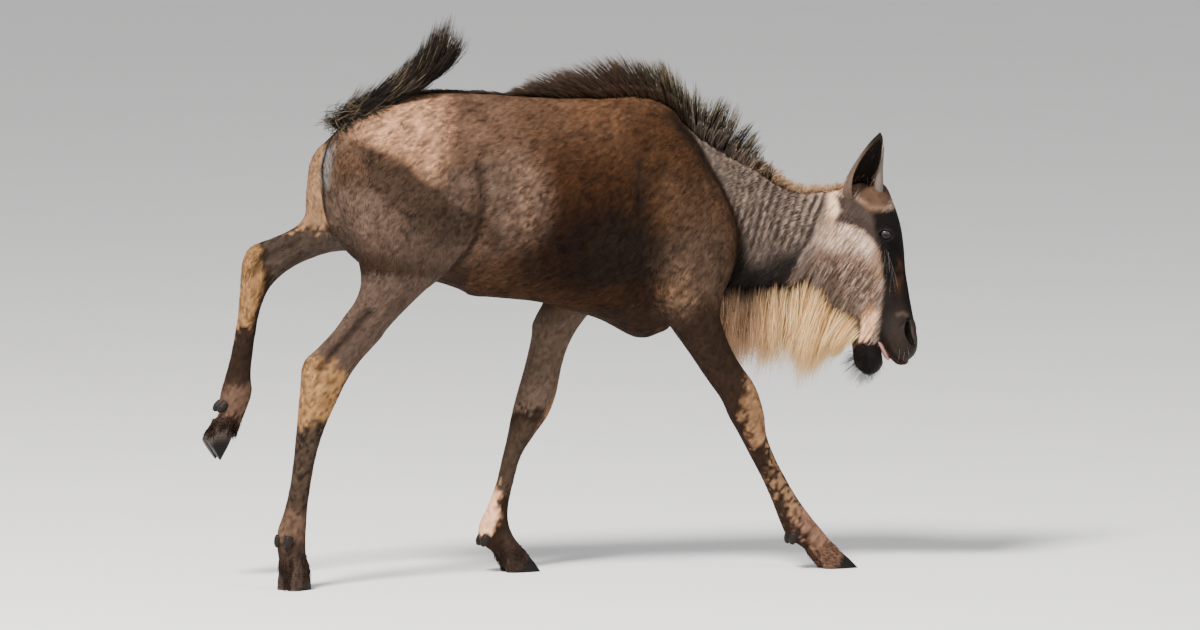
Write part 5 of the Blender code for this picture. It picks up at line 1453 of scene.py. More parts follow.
def unwrapped(straight, line, middle):
    """The share of the way along a form's middle line and the share of the turn around it."""
    line = np.asarray(line, float)
    lengths = np.concatenate([[0], np.cumsum(np.linalg.norm(np.diff(line, axis=0), axis=1))])
    best = np.full(len(straight), 1e9)
    share = np.zeros(len(straight))
    rise = np.zeros(len(straight))
    for i in range(len(line) - 1):
        way = line[i + 1] - line[i]
        away = straight[:, [0, 2]] - line[i]
        t = np.clip((away @ way) / (way @ way), 0, 1)
        off = away - t[:, None] * way
        distance = (off**2).sum(1)
        nearer = distance < best
        best = np.where(nearer, distance, best)
        share = np.where(nearer, (lengths[i] + t * np.linalg.norm(way)) / lengths[-1], share)
        sided = (way[0] * off[:, 1] - way[1] * off[:, 0]) / np.linalg.norm(way)
        rise = np.where(nearer, sided, rise)
    around = np.arctan2(rise, straight[:, 1] - middle) / (2 * math.pi) + 0.5
    return np.stack([np.clip(share, 0.001, 0.996), np.clip(around, 0.001, 0.996)], 1)


def middle_line(sections):
    return [((row[0] + row[2]) / 2, (row[1] + row[3]) / 2) for row in sections]


def bare_place(straight):
    """Where no coat grows: eye openings, nostrils, the gap of the mouth and the soles."""
    x, y, z = straight.T
    eye = np.hypot((x - EYE[0]) / 0.0160, (z - EYE[2] + 0.001) / 0.0125) < 1
    nostril = (nearness(x, z, NOSTRIL_LINE, 0.0070) > 0.40) & (x > 0.66)
    mouth = nearness(x, z, [MOUTH_CORNER, MOUTH_OPENS_AT], 0.0050) > 0.45
    return (eye & (np.abs(y) > 0.03)) | nostril | (mouth & (z > 0.38)) | (z < 0.010)


def form_of(straight):
    """The name of the form that each place belongs to."""
    x, y, z = straight.T
    names = np.where(y > 0, np.where(x > -0.17, "shoulder_left", "haunch_left"), "")
    names = np.where(y <= 0, np.where(x > -0.17, "shoulder_right", "haunch_right"), names)
    names = np.where((x > 0.285) & (z > 0.49), "neck", names)
    head = (x - 0.515 + 0.30 * (z - 0.70) > 0) & (z > 0.37)
    names = np.where(head, np.where(y > 0, "head_left", "head_right"), names)
    low = (z < 0.53) & (x < 0.47) | (z < 0.37) | (x < -0.535) & (z < 0.70) | (x < -0.38) & (z < 0.60)
    for leg, facts in LEGS.items():
        side = (y > 0) == (facts["middle"] > 0)
        half = x > -0.24 if leg.startswith("fore") else x <= -0.24
        lowered = low & ((np.abs(y) > 0.045) | (z < 0.47) | (x < -0.3))
        names = np.where(lowered & side & half, leg, names)
    return names


FORM_LINES = {
    "shoulder_left": (middle_line(TORSO), 0.0),
    "shoulder_right": (middle_line(TORSO), 0.0),
    "haunch_left": (middle_line(TORSO), 0.0),
    "haunch_right": (middle_line(TORSO), 0.0),
    "neck": (middle_line(NECK), 0.0),
    "head_left": (middle_line(HEAD) + middle_line(JAW)[-2:], 0.0),
    "head_right": (middle_line(HEAD) + middle_line(JAW)[-2:], 0.0),
}
for name, leg in LEGS.items():
    FORM_LINES[name] = (middle_line(leg["form"]), leg["middle"])


def coat(body, material):
    """Tufts all over the skin, one piece to each form, in the skin's own colours."""

    def per_area(places, ups):
        straight, angle = straightened(places)
        return coat_fields(straight)["density"] * ~bare_place(straight)

    places, ups = roots_on(body, per_area)
    straight, angle = straightened(places)
    fields = coat_fields(straight)
    ahead = lie_headings(straight)
    yaw = 0.20 * waves(straight, 0.070, 51) + 0.14 * waves(straight, 0.016, 52) + rng.normal(0, 0.10, len(places))
    ahead = swung(ahead, angle)
    ahead = unit(ahead - ups * (ahead * ups).sum(1, keepdims=True))
    across = np.cross(ups, ahead)
    ahead = ahead * np.cos(yaw)[:, None] + across * np.sin(yaw)[:, None]
    across = np.cross(ups, ahead)
    lift = fields["lift"] + rng.normal(0, 0.03, len(places))
    length = fields["length"] * rng.uniform(0.75, 1.2, len(places))
    heading = ahead * np.cos(lift)[:, None] + ups * np.sin(lift)[:, None]
    sunk = places - ups * 0.0006
    spines = np.stack([sunk, sunk + heading * length[:, None]], 1)
    tone = coat_colours(straight + rng.normal(0, 0.0016, straight.shape))
    tone = tone * np.clip(rng.normal(1, 0.26, (len(places), 1)), 0.35, 2.0)
    # Each tuft darker at its root and lighter at its tip: painted shade deep in the coat and painted light on the tips
    colours = np.stack([tone * 0.72, np.clip(tone * 1.30, 0, 0.95)], 1)
    names = form_of(straight)
    for name, (line, middle) in FORM_LINES.items():
        own = names == name
        piece = blades(
            "coat_" + name, spines[own], fields["width"][own, None] / 2, across[own], colours[own],
            unwrapped(straight[own], line, middle)
        )
        ready(piece, material, slot="face_coat" if name.startswith("head") else "trunk_coat", smooth=False)
        print("coat", name, int(own.sum()))


def gathered(spines, count, pull):
    """Draws hairs together into this many locks, more and more towards their tips."""
    leaders = rng.choice(len(spines), min(count, len(spines)), replace=False)
    roots = spines[:, 0]
    nearest = np.zeros(len(spines), int)
    for start in range(0, len(spines), 2000):
        away = roots[start : start + 2000, None] - roots[None, leaders]
        nearest[start : start + 2000] = leaders[(away**2).sum(2).argmin(1)]
    share = np.asarray(pull).reshape(-1, 1) * np.linspace(0, 1, spines.shape[1]) ** 1.8
    return spines + (spines[nearest] - spines) * share[:, :, None]


def long_hair(name, roots, heading, bend, length, half_width, tones, places, locks=0, pull=0.6, steps=6, wave=0.03, half=0.5):
    """A piece of long hair. tones are its colours at the root, at this share of its length and at the tip."""
    t = np.linspace(0, 1, steps)[None, :, None]
    length = length[:, None, None]
    spines = roots[:, None] + length * (heading[:, None] * t + bend[:, None] * t**2)
    if locks:
        spines = gathered(spines, locks, pull)
    sideways = unit(rng.normal(size=(len(roots), 3)))
    phase = rng.uniform(0, 6.3, len(roots))[:, None, None]
    spines = spines + sideways[:, None] * length * wave * t * np.sin(5 * t + phase)
    widths = half_width * np.linspace(1, 0.45, steps - 1)[None] * rng.uniform(0.7, 1.3, (len(roots), 1))
    t = t[..., 0][..., None]
    early, late = np.clip(t / half, 0, 1), np.clip((t - half) / (1 - half), 0, 1)
    first, second, third = [tone[:, None] for tone in tones]
    colours = (first * (1 - early) + second * early) * (1 - late) + third * late
    across = unit(rng.normal(size=(len(roots), 3)))
    return blades(name, spines, widths, across, np.clip(colours, 0.002, 0.95), places)


def side_heading(degrees, y_lean, angle):
    """Directions given in side view, leaning sideways by this, turned with the neck."""
    radians = np.radians(degrees)
    heading = np.stack([np.cos(radians), y_lean, np.sin(radians)], 1)
    return swung(unit(heading), angle)


def varied(colour, count, spread=0.18):
    return np.asarray(colour)[None] * np.clip(rng.normal(1, spread, (count, 1)), 0.4, 1.8)


MANE_BLACK = (0.0075, 0.0055, 0.0042)
MANE_BROWN = (0.030, 0.0170, 0.0105)
MANE_SHEEN = (0.062, 0.0380, 0.0250)
MANE_OLIVE = (0.230, 0.190, 0.110)
CREST_TAN = (0.440, 0.280, 0.165)


def mane(body, material):
    rows = np.array(MANE)

    def per_area(places, ups):
        straight, angle = straightened(places)
        x, y, z = straight.T
        half = np.interp(x, [-0.12, 0.05, 0.25, 0.40, 0.60], [0.009, 0.019, 0.025, 0.021, 0.011])
        crest = np.interp(x, rows[:, 0], rows[:, 1])
        inside_strip = (np.abs(y) < half) & (z > crest - 0.035) & (x > -0.46) & (x < 0.600)
        count = np.interp(x, [-0.12, 0.0, 0.15, 0.25, 0.38, 0.42, 0.60], [1.5e5, 2.8e5, 2.8e5, 1.9e5, 1.7e5, 2.1e5, 2.0e5])
        return count * inside_strip

    roots, ups = roots_on(body, per_area)
    straight, angle = straightened(roots)
    x, y, z = straight.T
    count = len(roots)
    crest = smooth_step((x - 0.375) / 0.05)
    length = np.interp(x, rows[:, 0], rows[:, 2]) * rng.uniform(0.72 - 0.35 * crest, 1.10 - 0.10 * crest, count)
    length *= 1 + 0.16 * smooth_step((x - 0.12) / 0.1) * waves(straight * [1, 0.4, 0], 0.013, 70)
    edge = smooth_step((np.abs(y) - 0.009) / 0.009) * smooth_step((x + 0.10) / 0.05) * (1 - crest)
    length *= 1 - 0.62 * edge
    degrees = np.interp(x, rows[:, 0], rows[:, 3]) + 7 * waves(straight, 0.035, 71)
    degrees += rng.normal(0, 1, count) * (5 + 20 * crest) + 14 * crest * waves(straight, 0.020, 72)
    heading = side_heading(degrees, y * (14 + 40 * crest) + rng.normal(0, 0.05, count), angle)
    curl = np.interp(x, [-0.1, 0.15, 0.24, 0.30, 0.45], [-0.22, -0.14, 0.02, 0.16, 0.15])
    bend = swung(np.stack([curl, y * 3, np.interp(x, [-0.1, 0.2, 0.3, 0.45], [-0.10, -0.04, -0.06, -0.10])], 1), angle)
    upright = smooth_step((x - 0.13) / 0.10)[:, None]
    crest = smooth_step((x - 0.395 + 0.25 * rng.normal(0, 0.08, count)) / 0.05)[:, None]
    pale = (rng.random((count, 1)) < 0.36) * upright
    root = varied(MANE_BLACK, count) * (1 - crest) + varied(CREST_TAN, count) * 0.7 * crest
    half_way = varied(MANE_BLACK, count) * upright + varied(MANE_BROWN, count) * (1 - upright)
    half_way = half_way * (1 - pale * 0.6) + varied(MANE_OLIVE, count) * pale * 0.35
    half_way = half_way * (1 - crest) + varied(CREST_TAN, count) * crest
    tip = varied(MANE_SHEEN, count) * (1 - upright) + varied(MANE_BROWN, count) * 0.7 * upright
    tip = tip * (1 - pale) + varied(MANE_OLIVE, count) * pale
    tip = tip * (1 - crest) + varied(CREST_TAN, count) * 1.15 * crest
    edge = edge[:, None] * 0.75
    neck = smooth_step((x - 0.22) / 0.06)[:, None]
    own = coat_colours(straight) * (0.5 + 0.4 * neck) + 0.4 * (1 - neck) * np.asarray(MANE_BROWN)
    own = own * np.clip(rng.normal(1, 0.25, (count, 1)), 0.4, 1.8)
    pull = 0.18 + 0.48 * smooth_step((x - 0.10) / 0.12)
    root, half_way, tip = [tone * (1 - edge) + own * edge for tone in (root, half_way, tip)]
    places = np.stack([np.interp(x, [-0.1, 0.6], [0.002, 0.995]), np.clip(0.5 + y * 25, 0.002, 0.995)], 1)
    piece = long_hair(
        "mane_hair", roots, heading, bend, length, 0.00094, [root, half_way, tip], places, count // 14, pull, 5
    )
    print("mane", count)
    ready(piece, material, "mane", slot="dark_hair", smooth=False)


BEARD_CREAM = (0.970, 0.700, 0.360)
BEARD_GOLD = (0.950, 0.550, 0.230)
BEARD_DULL = (0.560, 0.350, 0.210)
BEARD_ROOT = (0.026, 0.0195, 0.0165)


def beard(body, material):
    rows = np.array(BEARD)

    def per_area(places, ups):
        straight, angle = straightened(places)
        x, y, z = straight.T
        top = np.interp(x, rows[:, 0], rows[:, 1]) + 0.016 + 0.006 * waves(straight, 0.016, 83)
        top += 0.018 * np.exp(-(((x - 0.518) / 0.030) ** 2))
        return 3.9e5 * smooth_step((top - z) / 0.012) * ( (z > 0.47) & (x > 0.312) & (x < 0.604) & (np.abs(y) < 0.045) & (ups[:, 2] < 0.4))

    roots, ups = roots_on(body, per_area)
    straight, angle = straightened(roots)
    x, y, z = straight.T
    count = len(roots)
    length = np.interp(x, rows[:, 0], rows[:, 2]) + 1.0 * (z - np.interp(x, rows[:, 0], rows[:, 1])) + 0.006
    length *= rng.uniform(0.60, 1.08, count) * (1 + 0.20 * waves(straight * [1, 0.5, 0], 0.014, 81))
    degrees = np.interp(x, rows[:, 0], rows[:, 3]) + rng.normal(0, 4.5, count) + 9 * waves(straight, 0.026, 82)
    heading = side_heading(degrees, y * 7 + rng.normal(0, 0.05, count), angle)
    sweep = np.interp(x, [0.30, 0.42, 0.52, 0.60], [0.03, 0.00, 0.03, 0.06])
    drop = np.interp(x, [0.50, 0.60], [-0.06, -0.22])
    bend = swung(np.stack([sweep + rng.normal(0, 0.05, count), -y * 2.5, drop], 1), angle)
    bright = smooth_step((x - 0.375 + 0.014 * rng.normal(0, 1, count)) / 0.075)[:, None]
    cream = (rng.random((count, 1)) < 0.5) * 1.0
    golden = varied(BEARD_CREAM, count, 0.10) * cream + varied(BEARD_GOLD, count, 0.12) * (1 - cream)
    dull = varied(BEARD_DULL, count)
    line = np.interp(x, rows[:, 0], rows[:, 1])
    shade = (0.25 + 0.75 * smooth_step((z - line + 0.025) / 0.020))[:, None]
    root = golden * 0.60 * bright * (1 - shade) + varied(BEARD_ROOT, count) * (1 - bright * (1 - shade))
    half_way = dull * (1 - bright) + golden * bright
    tip = (dull * 1.2) * (1 - bright) + golden * 0.95 * bright
    places = np.stack([np.interp(x, [0.3, 0.62], [0.002, 0.995]), np.clip(0.5 + y * 10, 0.002, 0.995)], 1)
    piece = long_hair(
        "beard_hair", roots, heading, bend, length, 0.00074, [root, half_way, tip], places, count // 26, 0.60, 5, 0.06,
        0.30
    )
    print("beard", count)
    ready(piece, material, "beard", slot="pale_hair", smooth=False)


TAIL_TAN = (0.240, 0.180, 0.110)


def tail(material):
    """Long dark hair round the dock, a fan at its tip, and tan locks that fall over the rump."""
    count = 4900
    share = rng.random(count) ** 0.9
    turn = rng.uniform(0, 2 * math.pi, count)
    line = through(DOCK, 6)
    dock = along(line, share)
    ahead = unit(along(line, np.minimum(share + 0.25, 1.0)) - along(line, np.minimum(share, 0.75)))
    first = unit(np.cross(ahead, np.array([[0.0, 1.0, 0.0]])))
    second = np.cross(ahead, first)
    out = first * np.sin(turn)[:, None] + second * np.cos(turn)[:, None]
    radius = 0.012 - 0.006 * share
    roots = dock + out * radius[:, None]
    spread = 0.52 + 0.20 * share**2
    heading = unit(ahead + out * (spread * rng.uniform(0.5, 1.2, count))[:, None])
    length = (0.074 + 0.016 * share) * rng.uniform(0.55, 1.12, count)
    rise = 0.10 + 0.42 * share**2
    bend = np.stack([-0.30 * rise, np.zeros(count), rise], 1) - out * 0.16 + rng.normal(0, 0.03, (count, 3))
    droop = (share < 0.42) & (rng.random(count) < 0.45)
    back = unit(np.stack([-np.ones(count), rng.normal(0, 0.22, count), rng.normal(0.05, 0.14, count)], 1))
    down = unit(np.stack([rng.uniform(-0.1, 0.55, count), -np.ones(count) * 0.75, rng.uniform(-0.6, 0.1, count)], 1))
    sort = (rng.random(count) < 0.42)[:, None]
    heading = np.where(droop[:, None], np.where(sort, back, down), heading)
    length = np.where(droop, rng.uniform(0.040, 0.080, count), length)
    fall = np.where(sort, np.array([[0.0, 0.0, -0.16]]), np.array([[0.10, 0.30, -0.70]]))
    bend = np.where(droop[:, None], fall, bend)
    often = np.where(droop & ~sort[:, 0], 0.32, np.where(share < 0.55, 0.20, 0.06))
    tan = (rng.random((count, 1)) < often[:, None]) * 1.0
    root = varied(MANE_BLACK, count)
    half_way = varied(MANE_BLACK, count) * 1.2 * (1 - tan) + varied(TAIL_TAN, count) * 0.6 * tan
    tip = varied(MANE_BROWN, count) * 0.6 * (1 - tan) + varied(TAIL_TAN, count) * tan
    places = np.stack([np.clip(share, 0.002, 0.995), turn / 6.32], 1)
    piece = long_hair(
        "tail_hair", roots, heading, bend, length, 0.00092, [root, half_way, tip], places, count // 20, 0.50, 5, 0.05
    )
    ready(piece, material, slot="dark_hair", smooth=False)
    path = [Vector(point) for point in line]
    radii = [0.0125 - 0.006 * i / (len(path) - 1) for i in range(len(path))]
    core = strand("tail_dock", path, radii, radii, Vector((0, 1, 0)), 16)
    set_colours(core, "coat", np.tile([0.0090, 0.0065, 0.0050], (len(core.data.vertices), 1)))
    ready(core, material, "tail", slot="dark_hair")


def cheek_fur(body, material):
    """Longer fur that flows back and down over the rear edge of the cheek."""

    def per_area(places, ups):
        straight, angle = straightened(places)
        x, y, z = straight.T
        edge = nearness(x, z, CHEEK_EDGE, 0.024) * inside(x, z, HEAD_AREA, 0.006) * (z > 0.47)
        return 2.0e5 * edge * (x < 0.60)

    roots, ups = roots_on(body, per_area)
    straight, angle = straightened(roots)
    x, y, z = straight.T
    count = len(roots)
    low = smooth_step((0.625 - z) / 0.06)
    length = (0.026 + 0.032 * low) * rng.uniform(0.55, 1.15, count)
    length *= 1 - 0.45 * smooth_step((x - 0.54) / 0.05)
    degrees = 232 + 4 * rng.normal(0, 1, count) + 8 * waves(straight, 0.03, 91) + 8 * smooth_step((x - 0.53) / 0.05)
    heading = side_heading(degrees, rng.normal(0, 0.05, count), angle)
    heading = unit(heading - ups * (heading * ups).sum(1, keepdims=True) * 0.85 + ups * 0.16)
    bend = np.stack([np.zeros(count), np.zeros(count), np.full(count, -0.12)], 1) - ups * 0.10
    tone = coat_colours(straight) * np.clip(rng.normal(1.0, 0.22, (count, 1)), 0.4, 1.6)
    fringe = (low * smooth_step((0.565 - z) / 0.04) * 0.75)[:, None]
    # Darker at the root and lighter at the tip: painted shade and painted light of the fur's depth
    tip = np.clip(tone * 1.25, 0, 0.85) * (1 - fringe) + np.asarray(CHEEK_FRINGE) * fringe
    places = np.stack([np.clip((0.78 - z) / 0.40, 0.002, 0.995), np.clip(0.5 + y * 6, 0.002, 0.995)], 1)
    piece = long_hair(
        "cheek_fur", roots, heading, bend, length, 0.00050, [tone * 0.8, tone, tip], places, count // 30, 0.35, 5
    )
    ready(piece, material, slot="face_coat", smooth=False)


def chin_bristles(body, material):
    """Stiff black hair under and behind the round chin, and short whiskers round the lips."""

    def per_area(places, ups):
        straight, angle = straightened(places)
        x, y, z = straight.T
        chin = spot(x, z, 0.608, 0.408, 0.034, 0.026, 0.6) * (z < 0.440) * (x < 0.648)
        lips = 0.12 * (nearness(x, z, [(0.675, 0.425), (0.700, 0.425), (0.708, 0.440)], 0.012) > 0.4)
        return 0.9e5 * chin + 0.5e5 * lips * (ups[:, 2] < 0.5)

    roots, ups = roots_on(body, per_area)
    straight, angle = straightened(roots)
    x, y, z = straight.T
    count = len(roots)
    lips = x > 0.655
    length = np.where(lips, 0.008, 0.014 + 0.018 * smooth_step((0.645 - x) / 0.04)) * rng.uniform(0.6, 1.15, count)
    away = unit(straight - np.array([0.622, 0.0, 0.428]))
    away = unit(away + np.array([-0.35, 0.0, -0.35]) + 0.12 * rng.normal(size=(count, 3)))
    heading = np.where(lips[:, None], ups, swung(away, angle))
    bend = swung(np.tile([-0.10, 0.0, -0.14], (count, 1)), angle)
    tones = [varied(MANE_BLACK, count), varied(MANE_BLACK, count), varied(MANE_BROWN, count)]
    places = np.stack([np.clip((x - 0.57) / 0.15, 0.002, 0.995), np.clip(0.5 + y * 9, 0.002, 0.995)], 1)
    piece = long_hair(
        "chin_bristles", roots, heading, bend, length, 0.00030, tones, places, count // 5, 0.30, 5
    )
    ready(piece, material, slot="dark_hair", smooth=False)


# Whiskers: root (x, z), heading in side view, length, and how far the tip falls
WHISKERS = [
    (0.652, 0.650, -82, 0.050, 0.10), (0.657, 0.645, -75, 0.062, 0.12), (0.661, 0.640, -86, 0.044, 0.05),
    (0.655, 0.632, -100, 0.052, 0.16), (0.663, 0.628, -70, 0.058, 0.20), (0.659, 0.620, -92, 0.038, 0.06),
    (0.667, 0.612, -80, 0.060, 0.14), (0.668, 0.600, -96, 0.046, 0.10), (0.648, 0.640, -108, 0.036, 0.12),
    (0.681, 0.690, 20, 0.026, 0.20), (0.683, 0.684, 4, 0.034, 0.15), (0.685, 0.678, 32, 0.030, 0.22),
    (0.684, 0.694, -6, 0.024, 0.10), (0.706, 0.470, -60, 0.022, 0.10), (0.700, 0.448, -80, 0.024, 0.10),
    (0.694, 0.438, -100, 0.020, 0.10), (0.684, 0.445, -95, 0.024, 0.12),
]


def whiskers_and_lashes(body, pale_material, dark_material):
    """Long pale whiskers on both sides of the face, and a row of lashes on each upper lid."""
    surface = BVHTree.FromObject(body, bpy.context.evaluated_depsgraph_get())
    for side, name in ((1, "left"), (-1, "right")):
        roots, heading, length, fall = [], [], [], []
        for x, z, degrees, size, drop in WHISKERS:
            seen = HEAD_FRAME @ Vector((x, side * 0.12, z))
            toward = HEAD_FRAME.to_3x3() @ Vector((0, -side, 0))
            hit = surface.ray_cast(seen, toward)[0]
            if hit is None:
                continue
            roots.append(hit - Vector((0, side * 0.0006, 0)))
            turn = math.radians(degrees)
            heading.append(HEAD_FRAME.to_3x3() @ Vector((math.cos(turn), side * 0.32, math.sin(turn))).normalized())
            length.append(size)
            fall.append(drop)
        count = len(roots)
        bend = np.stack([np.zeros(count), np.zeros(count), -np.array(fall)], 1)
        tones = [varied((0.22, 0.20, 0.18), count), varied((0.36, 0.33, 0.31), count), varied((0.44, 0.41, 0.38), count)]
        places = np.stack([np.linspace(0.05, 0.95, count), np.full(count, 0.5)], 1)
        piece = long_hair(
            "whiskers_" + name, np.array(roots), unit(np.array(heading)), bend, np.array(length), 0.00019, tones,
            places, 0, 0, 7, 0.02
        )
        ready(piece, pale_material, slot="face_coat", smooth=False)
        count = 90
        across = np.linspace(-1, 1, count) + rng.normal(0, 0.01, count)
        rim = np.stack([across * 0.0128, np.full(count, side * 0.0098), 0.0102 * np.sqrt(1 - 0.72 * across**2)], 1)
        rim[:, 1] -= side * 0.0035 * across**2
        tilt = np.array(Matrix.Rotation(math.radians(14), 3, "Y"))
        rim = rim @ tilt.T
        roots = moved_points(np.array(mirrored(EYE, side)) + rim, HEAD_FRAME)
        outward = np.stack([0.45 * across + 0.15, np.full(count, side * 1.0), np.full(count, -0.35)], 1)
        outward = unit(outward + 0.10 * rng.normal(size=outward.shape))
        heading = outward @ np.array(HEAD_FRAME.to_3x3()).T
        bend = np.tile([0.0, 0.0, 0.22], (count, 1))
        tones = [varied(MANE_BLACK, count)] * 3
        places = np.stack([np.clip(0.5 + across * 0.45, 0.01, 0.99), np.full(count, 0.5)], 1)
        lashes = long_hair(
            "lashes_" + name, roots, heading, bend, rng.uniform(0.0055, 0.0090, count), 0.00020, tones, places, 0, 0, 5
        )
        ready(lashes, dark_material, slot="dark_hair", smooth=False)


def moved_points(points, matrix):
    matrix = np.array(matrix)
    return points @ matrix[:3, :3].T + matrix[:3, 3]


def coronet_hair(body, material):
    """Hair that hangs from each foot over the top of its claws."""

    def per_area(places, ups):
        straight, angle = straightened(places)
        near = np.zeros(len(places))
        for leg in LEGS.values():
            front, rear, toe, heel = leg["hoof"]
            side = (places[:, 1] > 0) == (leg["middle"] > 0)
            line = nearness(places[:, 0], places[:, 2], [front, rear], 0.012) * side
            near = np.maximum(near, line)
        return 1.7e5 * near * (ups[:, 2] > -0.8) * (places[:, 2] > 0.014)

    roots, ups = roots_on(body, per_area)
    count = len(roots)
    down = np.zeros((count, 3))
    for leg in LEGS.values():
        front, rear, toe, heel = [np.array(point) for point in leg["hoof"]]
        near = (roots[:, 1] > 0) == (leg["middle"] > 0)
        near &= np.abs(roots[:, 0] - (front[0] + rear[0]) / 2) < 0.09
        way = (toe + heel - front - rear) / 2
        way = way / np.linalg.norm(way)
        down[near] = [way[0], 0, way[1]]
    heading = unit(down + ups * 0.30 + 0.10 * rng.normal(size=(count, 3)))
    length = rng.uniform(0.010, 0.022, count)
    tone = coat_colours(roots) * np.clip(rng.normal(0.9, 0.22, (count, 1)), 0.4, 1.6)
    bend = -ups * 0.10
    places = np.stack([np.clip(roots[:, 0] + 0.76, 0, 1.4) / 1.45, np.clip(0.5 + roots[:, 1] * 4, 0, 0.99)], 1)
    # Each hair darker at its root and lighter at its tip, as painted shade and painted light
    piece = long_hair(
        "coronet_hair", roots, heading, bend, length, 0.00068, [tone * 0.8, tone, tone * 1.2],
        np.clip(places, 0.002, 0.995), 0, 0, 4
    )
    print("coronet", count)
    ready(piece, material, slot="leg_coat", smooth=False)


def ear_leaf(side):
    """The ear's leaf: rolled at its root and opening towards its tip, and how far up each vertex is."""
    rows = np.array(through([(*row[:3], row[3], row[4], row[5]) for row in EAR], 8))
    mesh = bmesh.new()
    sides = 32
    for ring, (x, y, z, half, half_turn, facing) in zip(rings_of(mesh, sides, len(rows)), rows):
        facing = math.radians(facing)
        opens = Vector((math.sin(facing), side * math.cos(facing), 0))
        across = Vector((math.cos(facing), -side * math.sin(facing), 0))
        radius = half / math.sin(min(half_turn, math.pi / 2))
        for j, vert in enumerate(ring):
            turn = half_turn * (2 * j / sides - 1)
            rim = 1 + 0.03 * math.cos(3 * turn)
            vert.co = Vector((x, side * y, z)) + (across * math.sin(turn) - opens * math.cos(turn)) * radius * rim
    name = "ear_leaf_left" if side > 0 else "ear_leaf_right"
    bmesh.ops.recalc_face_normals(mesh, faces=mesh.faces)
    leaf = finished(mesh, name)
    wall = leaf.modifiers.new("wall", "SOLIDIFY")
    wall.thickness = 0.0022
    wall.offset = 0
    leaf = baked(leaf, name)
    share, middles, opens = ear_places(vertices(leaf), rows, side)
    inner = ((middles - vertices(leaf)) * vertex_normals(leaf)).sum(1) > 0
    return leaf, rows, share, inner


def ear_places(points, rows, side):
    """For places on the ear: the share of the way up it, the middle of its roll and where it opens."""
    nearest = np.abs(points[:, 2][:, None] - rows[None, :, 2]).argmin(1)
    middles = rows[nearest, :3] * [1, side, 1]
    facing = np.radians(rows[nearest, 5])
    opens = np.stack([np.sin(facing), side * np.cos(facing), np.zeros(len(points))], 1)
    return nearest / (len(rows) - 1), middles, opens


EAR_BACK = (0.120, 0.080, 0.058)
EAR_DARK = (0.014, 0.0095, 0.0070)
EAR_INNER = (0.0075, 0.0050, 0.0038)
EAR_HAIR = (0.300, 0.230, 0.170)


def ears(skin_material, coat_material, hair_material):
    for side in (1, -1):
        leaf, rows, share, inner = ear_leaf(side)
        name = leaf.name
        dark = smooth_step((share - 0.50) / 0.35)[:, None]
        colours = np.asarray(EAR_BACK) * (1 - dark) + np.asarray(EAR_DARK) * dark
        colours = np.where(inner[:, None], np.asarray(EAR_INNER), colours)
        set_colours(leaf, "coat", colours)
        set_numbers(leaf, "bare", np.where(inner, 0.2, 0.0))
        toward = unit(rows[-1, :3] * [1, side, 1] - rows[0, :3] * [1, side, 1])
        places, ups = roots_on(leaf, lambda places, ups: np.full(len(places), 2.6e5))
        share, middles, opens = ear_places(places, rows, side)
        facing = ((middles - places) * ups).sum(1) > 0
        ahead = unit(toward - ups * (ups @ toward)[:, None])
        ahead = unit(ahead + 0.18 * rng.normal(size=ups.shape))
        lift = rng.normal(0.12, 0.05, len(places))
        heading = ahead * np.cos(lift)[:, None] + ups * np.sin(lift)[:, None]
        sizes = 0.0062 * rng.uniform(0.7, 1.3, len(places)) * (1 - 0.40 * share)
        dark = smooth_step((share - 0.50 + 0.05 * rng.normal(size=len(share))) / 0.35)[:, None]
        tone = np.asarray(EAR_BACK) * (1 - dark) + np.asarray(EAR_DARK) * dark
        tone = np.where(facing[:, None], np.asarray(EAR_INNER) * 1.3, tone)
        tone = tone * np.clip(rng.normal(1, 0.25, (len(places), 1)), 0.4, 2)
        spines = np.stack([places - ups * 0.0004, places + heading * sizes[:, None]], 1)
        # Each tuft darker at its root and lighter at its tip, as painted shade and painted light
        colours = np.stack([tone * 0.8, tone * 1.25], 1)
        turn = np.arctan2(((places - middles) * np.cross(opens, [0, 0, 1])).sum(1), ((middles - places) * opens).sum(1))
        around = np.clip(0.25 + turn / 13, 0.002, 0.49)
        unwrap = np.stack([np.clip(share, 0.002, 0.99), np.where(facing, around, 0.5 + around)], 1)
        tufts = blades(name + "_coat", spines, np.full((len(places), 1), 0.00045), np.cross(ups, ahead), colours, unwrap)
        low = np.clip(1.15 - 2.2 * share, 0.03, 1)
        fringe_at = np.flatnonzero(facing & (rng.random(len(places)) < 0.10 * low))
        roots, count = places[fringe_at], len(fringe_at)
        heading = unit(toward[None] * 0.9 + opens[fringe_at] * 0.45 + 0.28 * rng.normal(size=(count, 3)))
        # Fringe hairs darker at the root, as painted shade
        tones = [varied(EAR_HAIR, count) * 0.6, varied(EAR_HAIR, count), varied(EAR_HAIR, count)]
        fringe = long_hair(
            name + "_fringe", roots, heading, rng.normal(0, 0.12, (count, 3)), rng.uniform(0.010, 0.024, count),
            0.00030, tones, unwrap[fringe_at], 0, 0, 5
        )
        for piece in (leaf, tufts, fringe):
            moved(piece, HEAD_FRAME)
        ready(leaf, skin_material, "ear_left" if side > 0 else "ear_right", slot="face_coat")
        ready(tufts, coat_material, slot="face_coat", smooth=False)
        ready(fringe, hair_material, slot="face_coat", smooth=False)


HORN_PALE = (0.115, 0.084, 0.066)
HORN_BASE_TONE = (0.075, 0.052, 0.040)


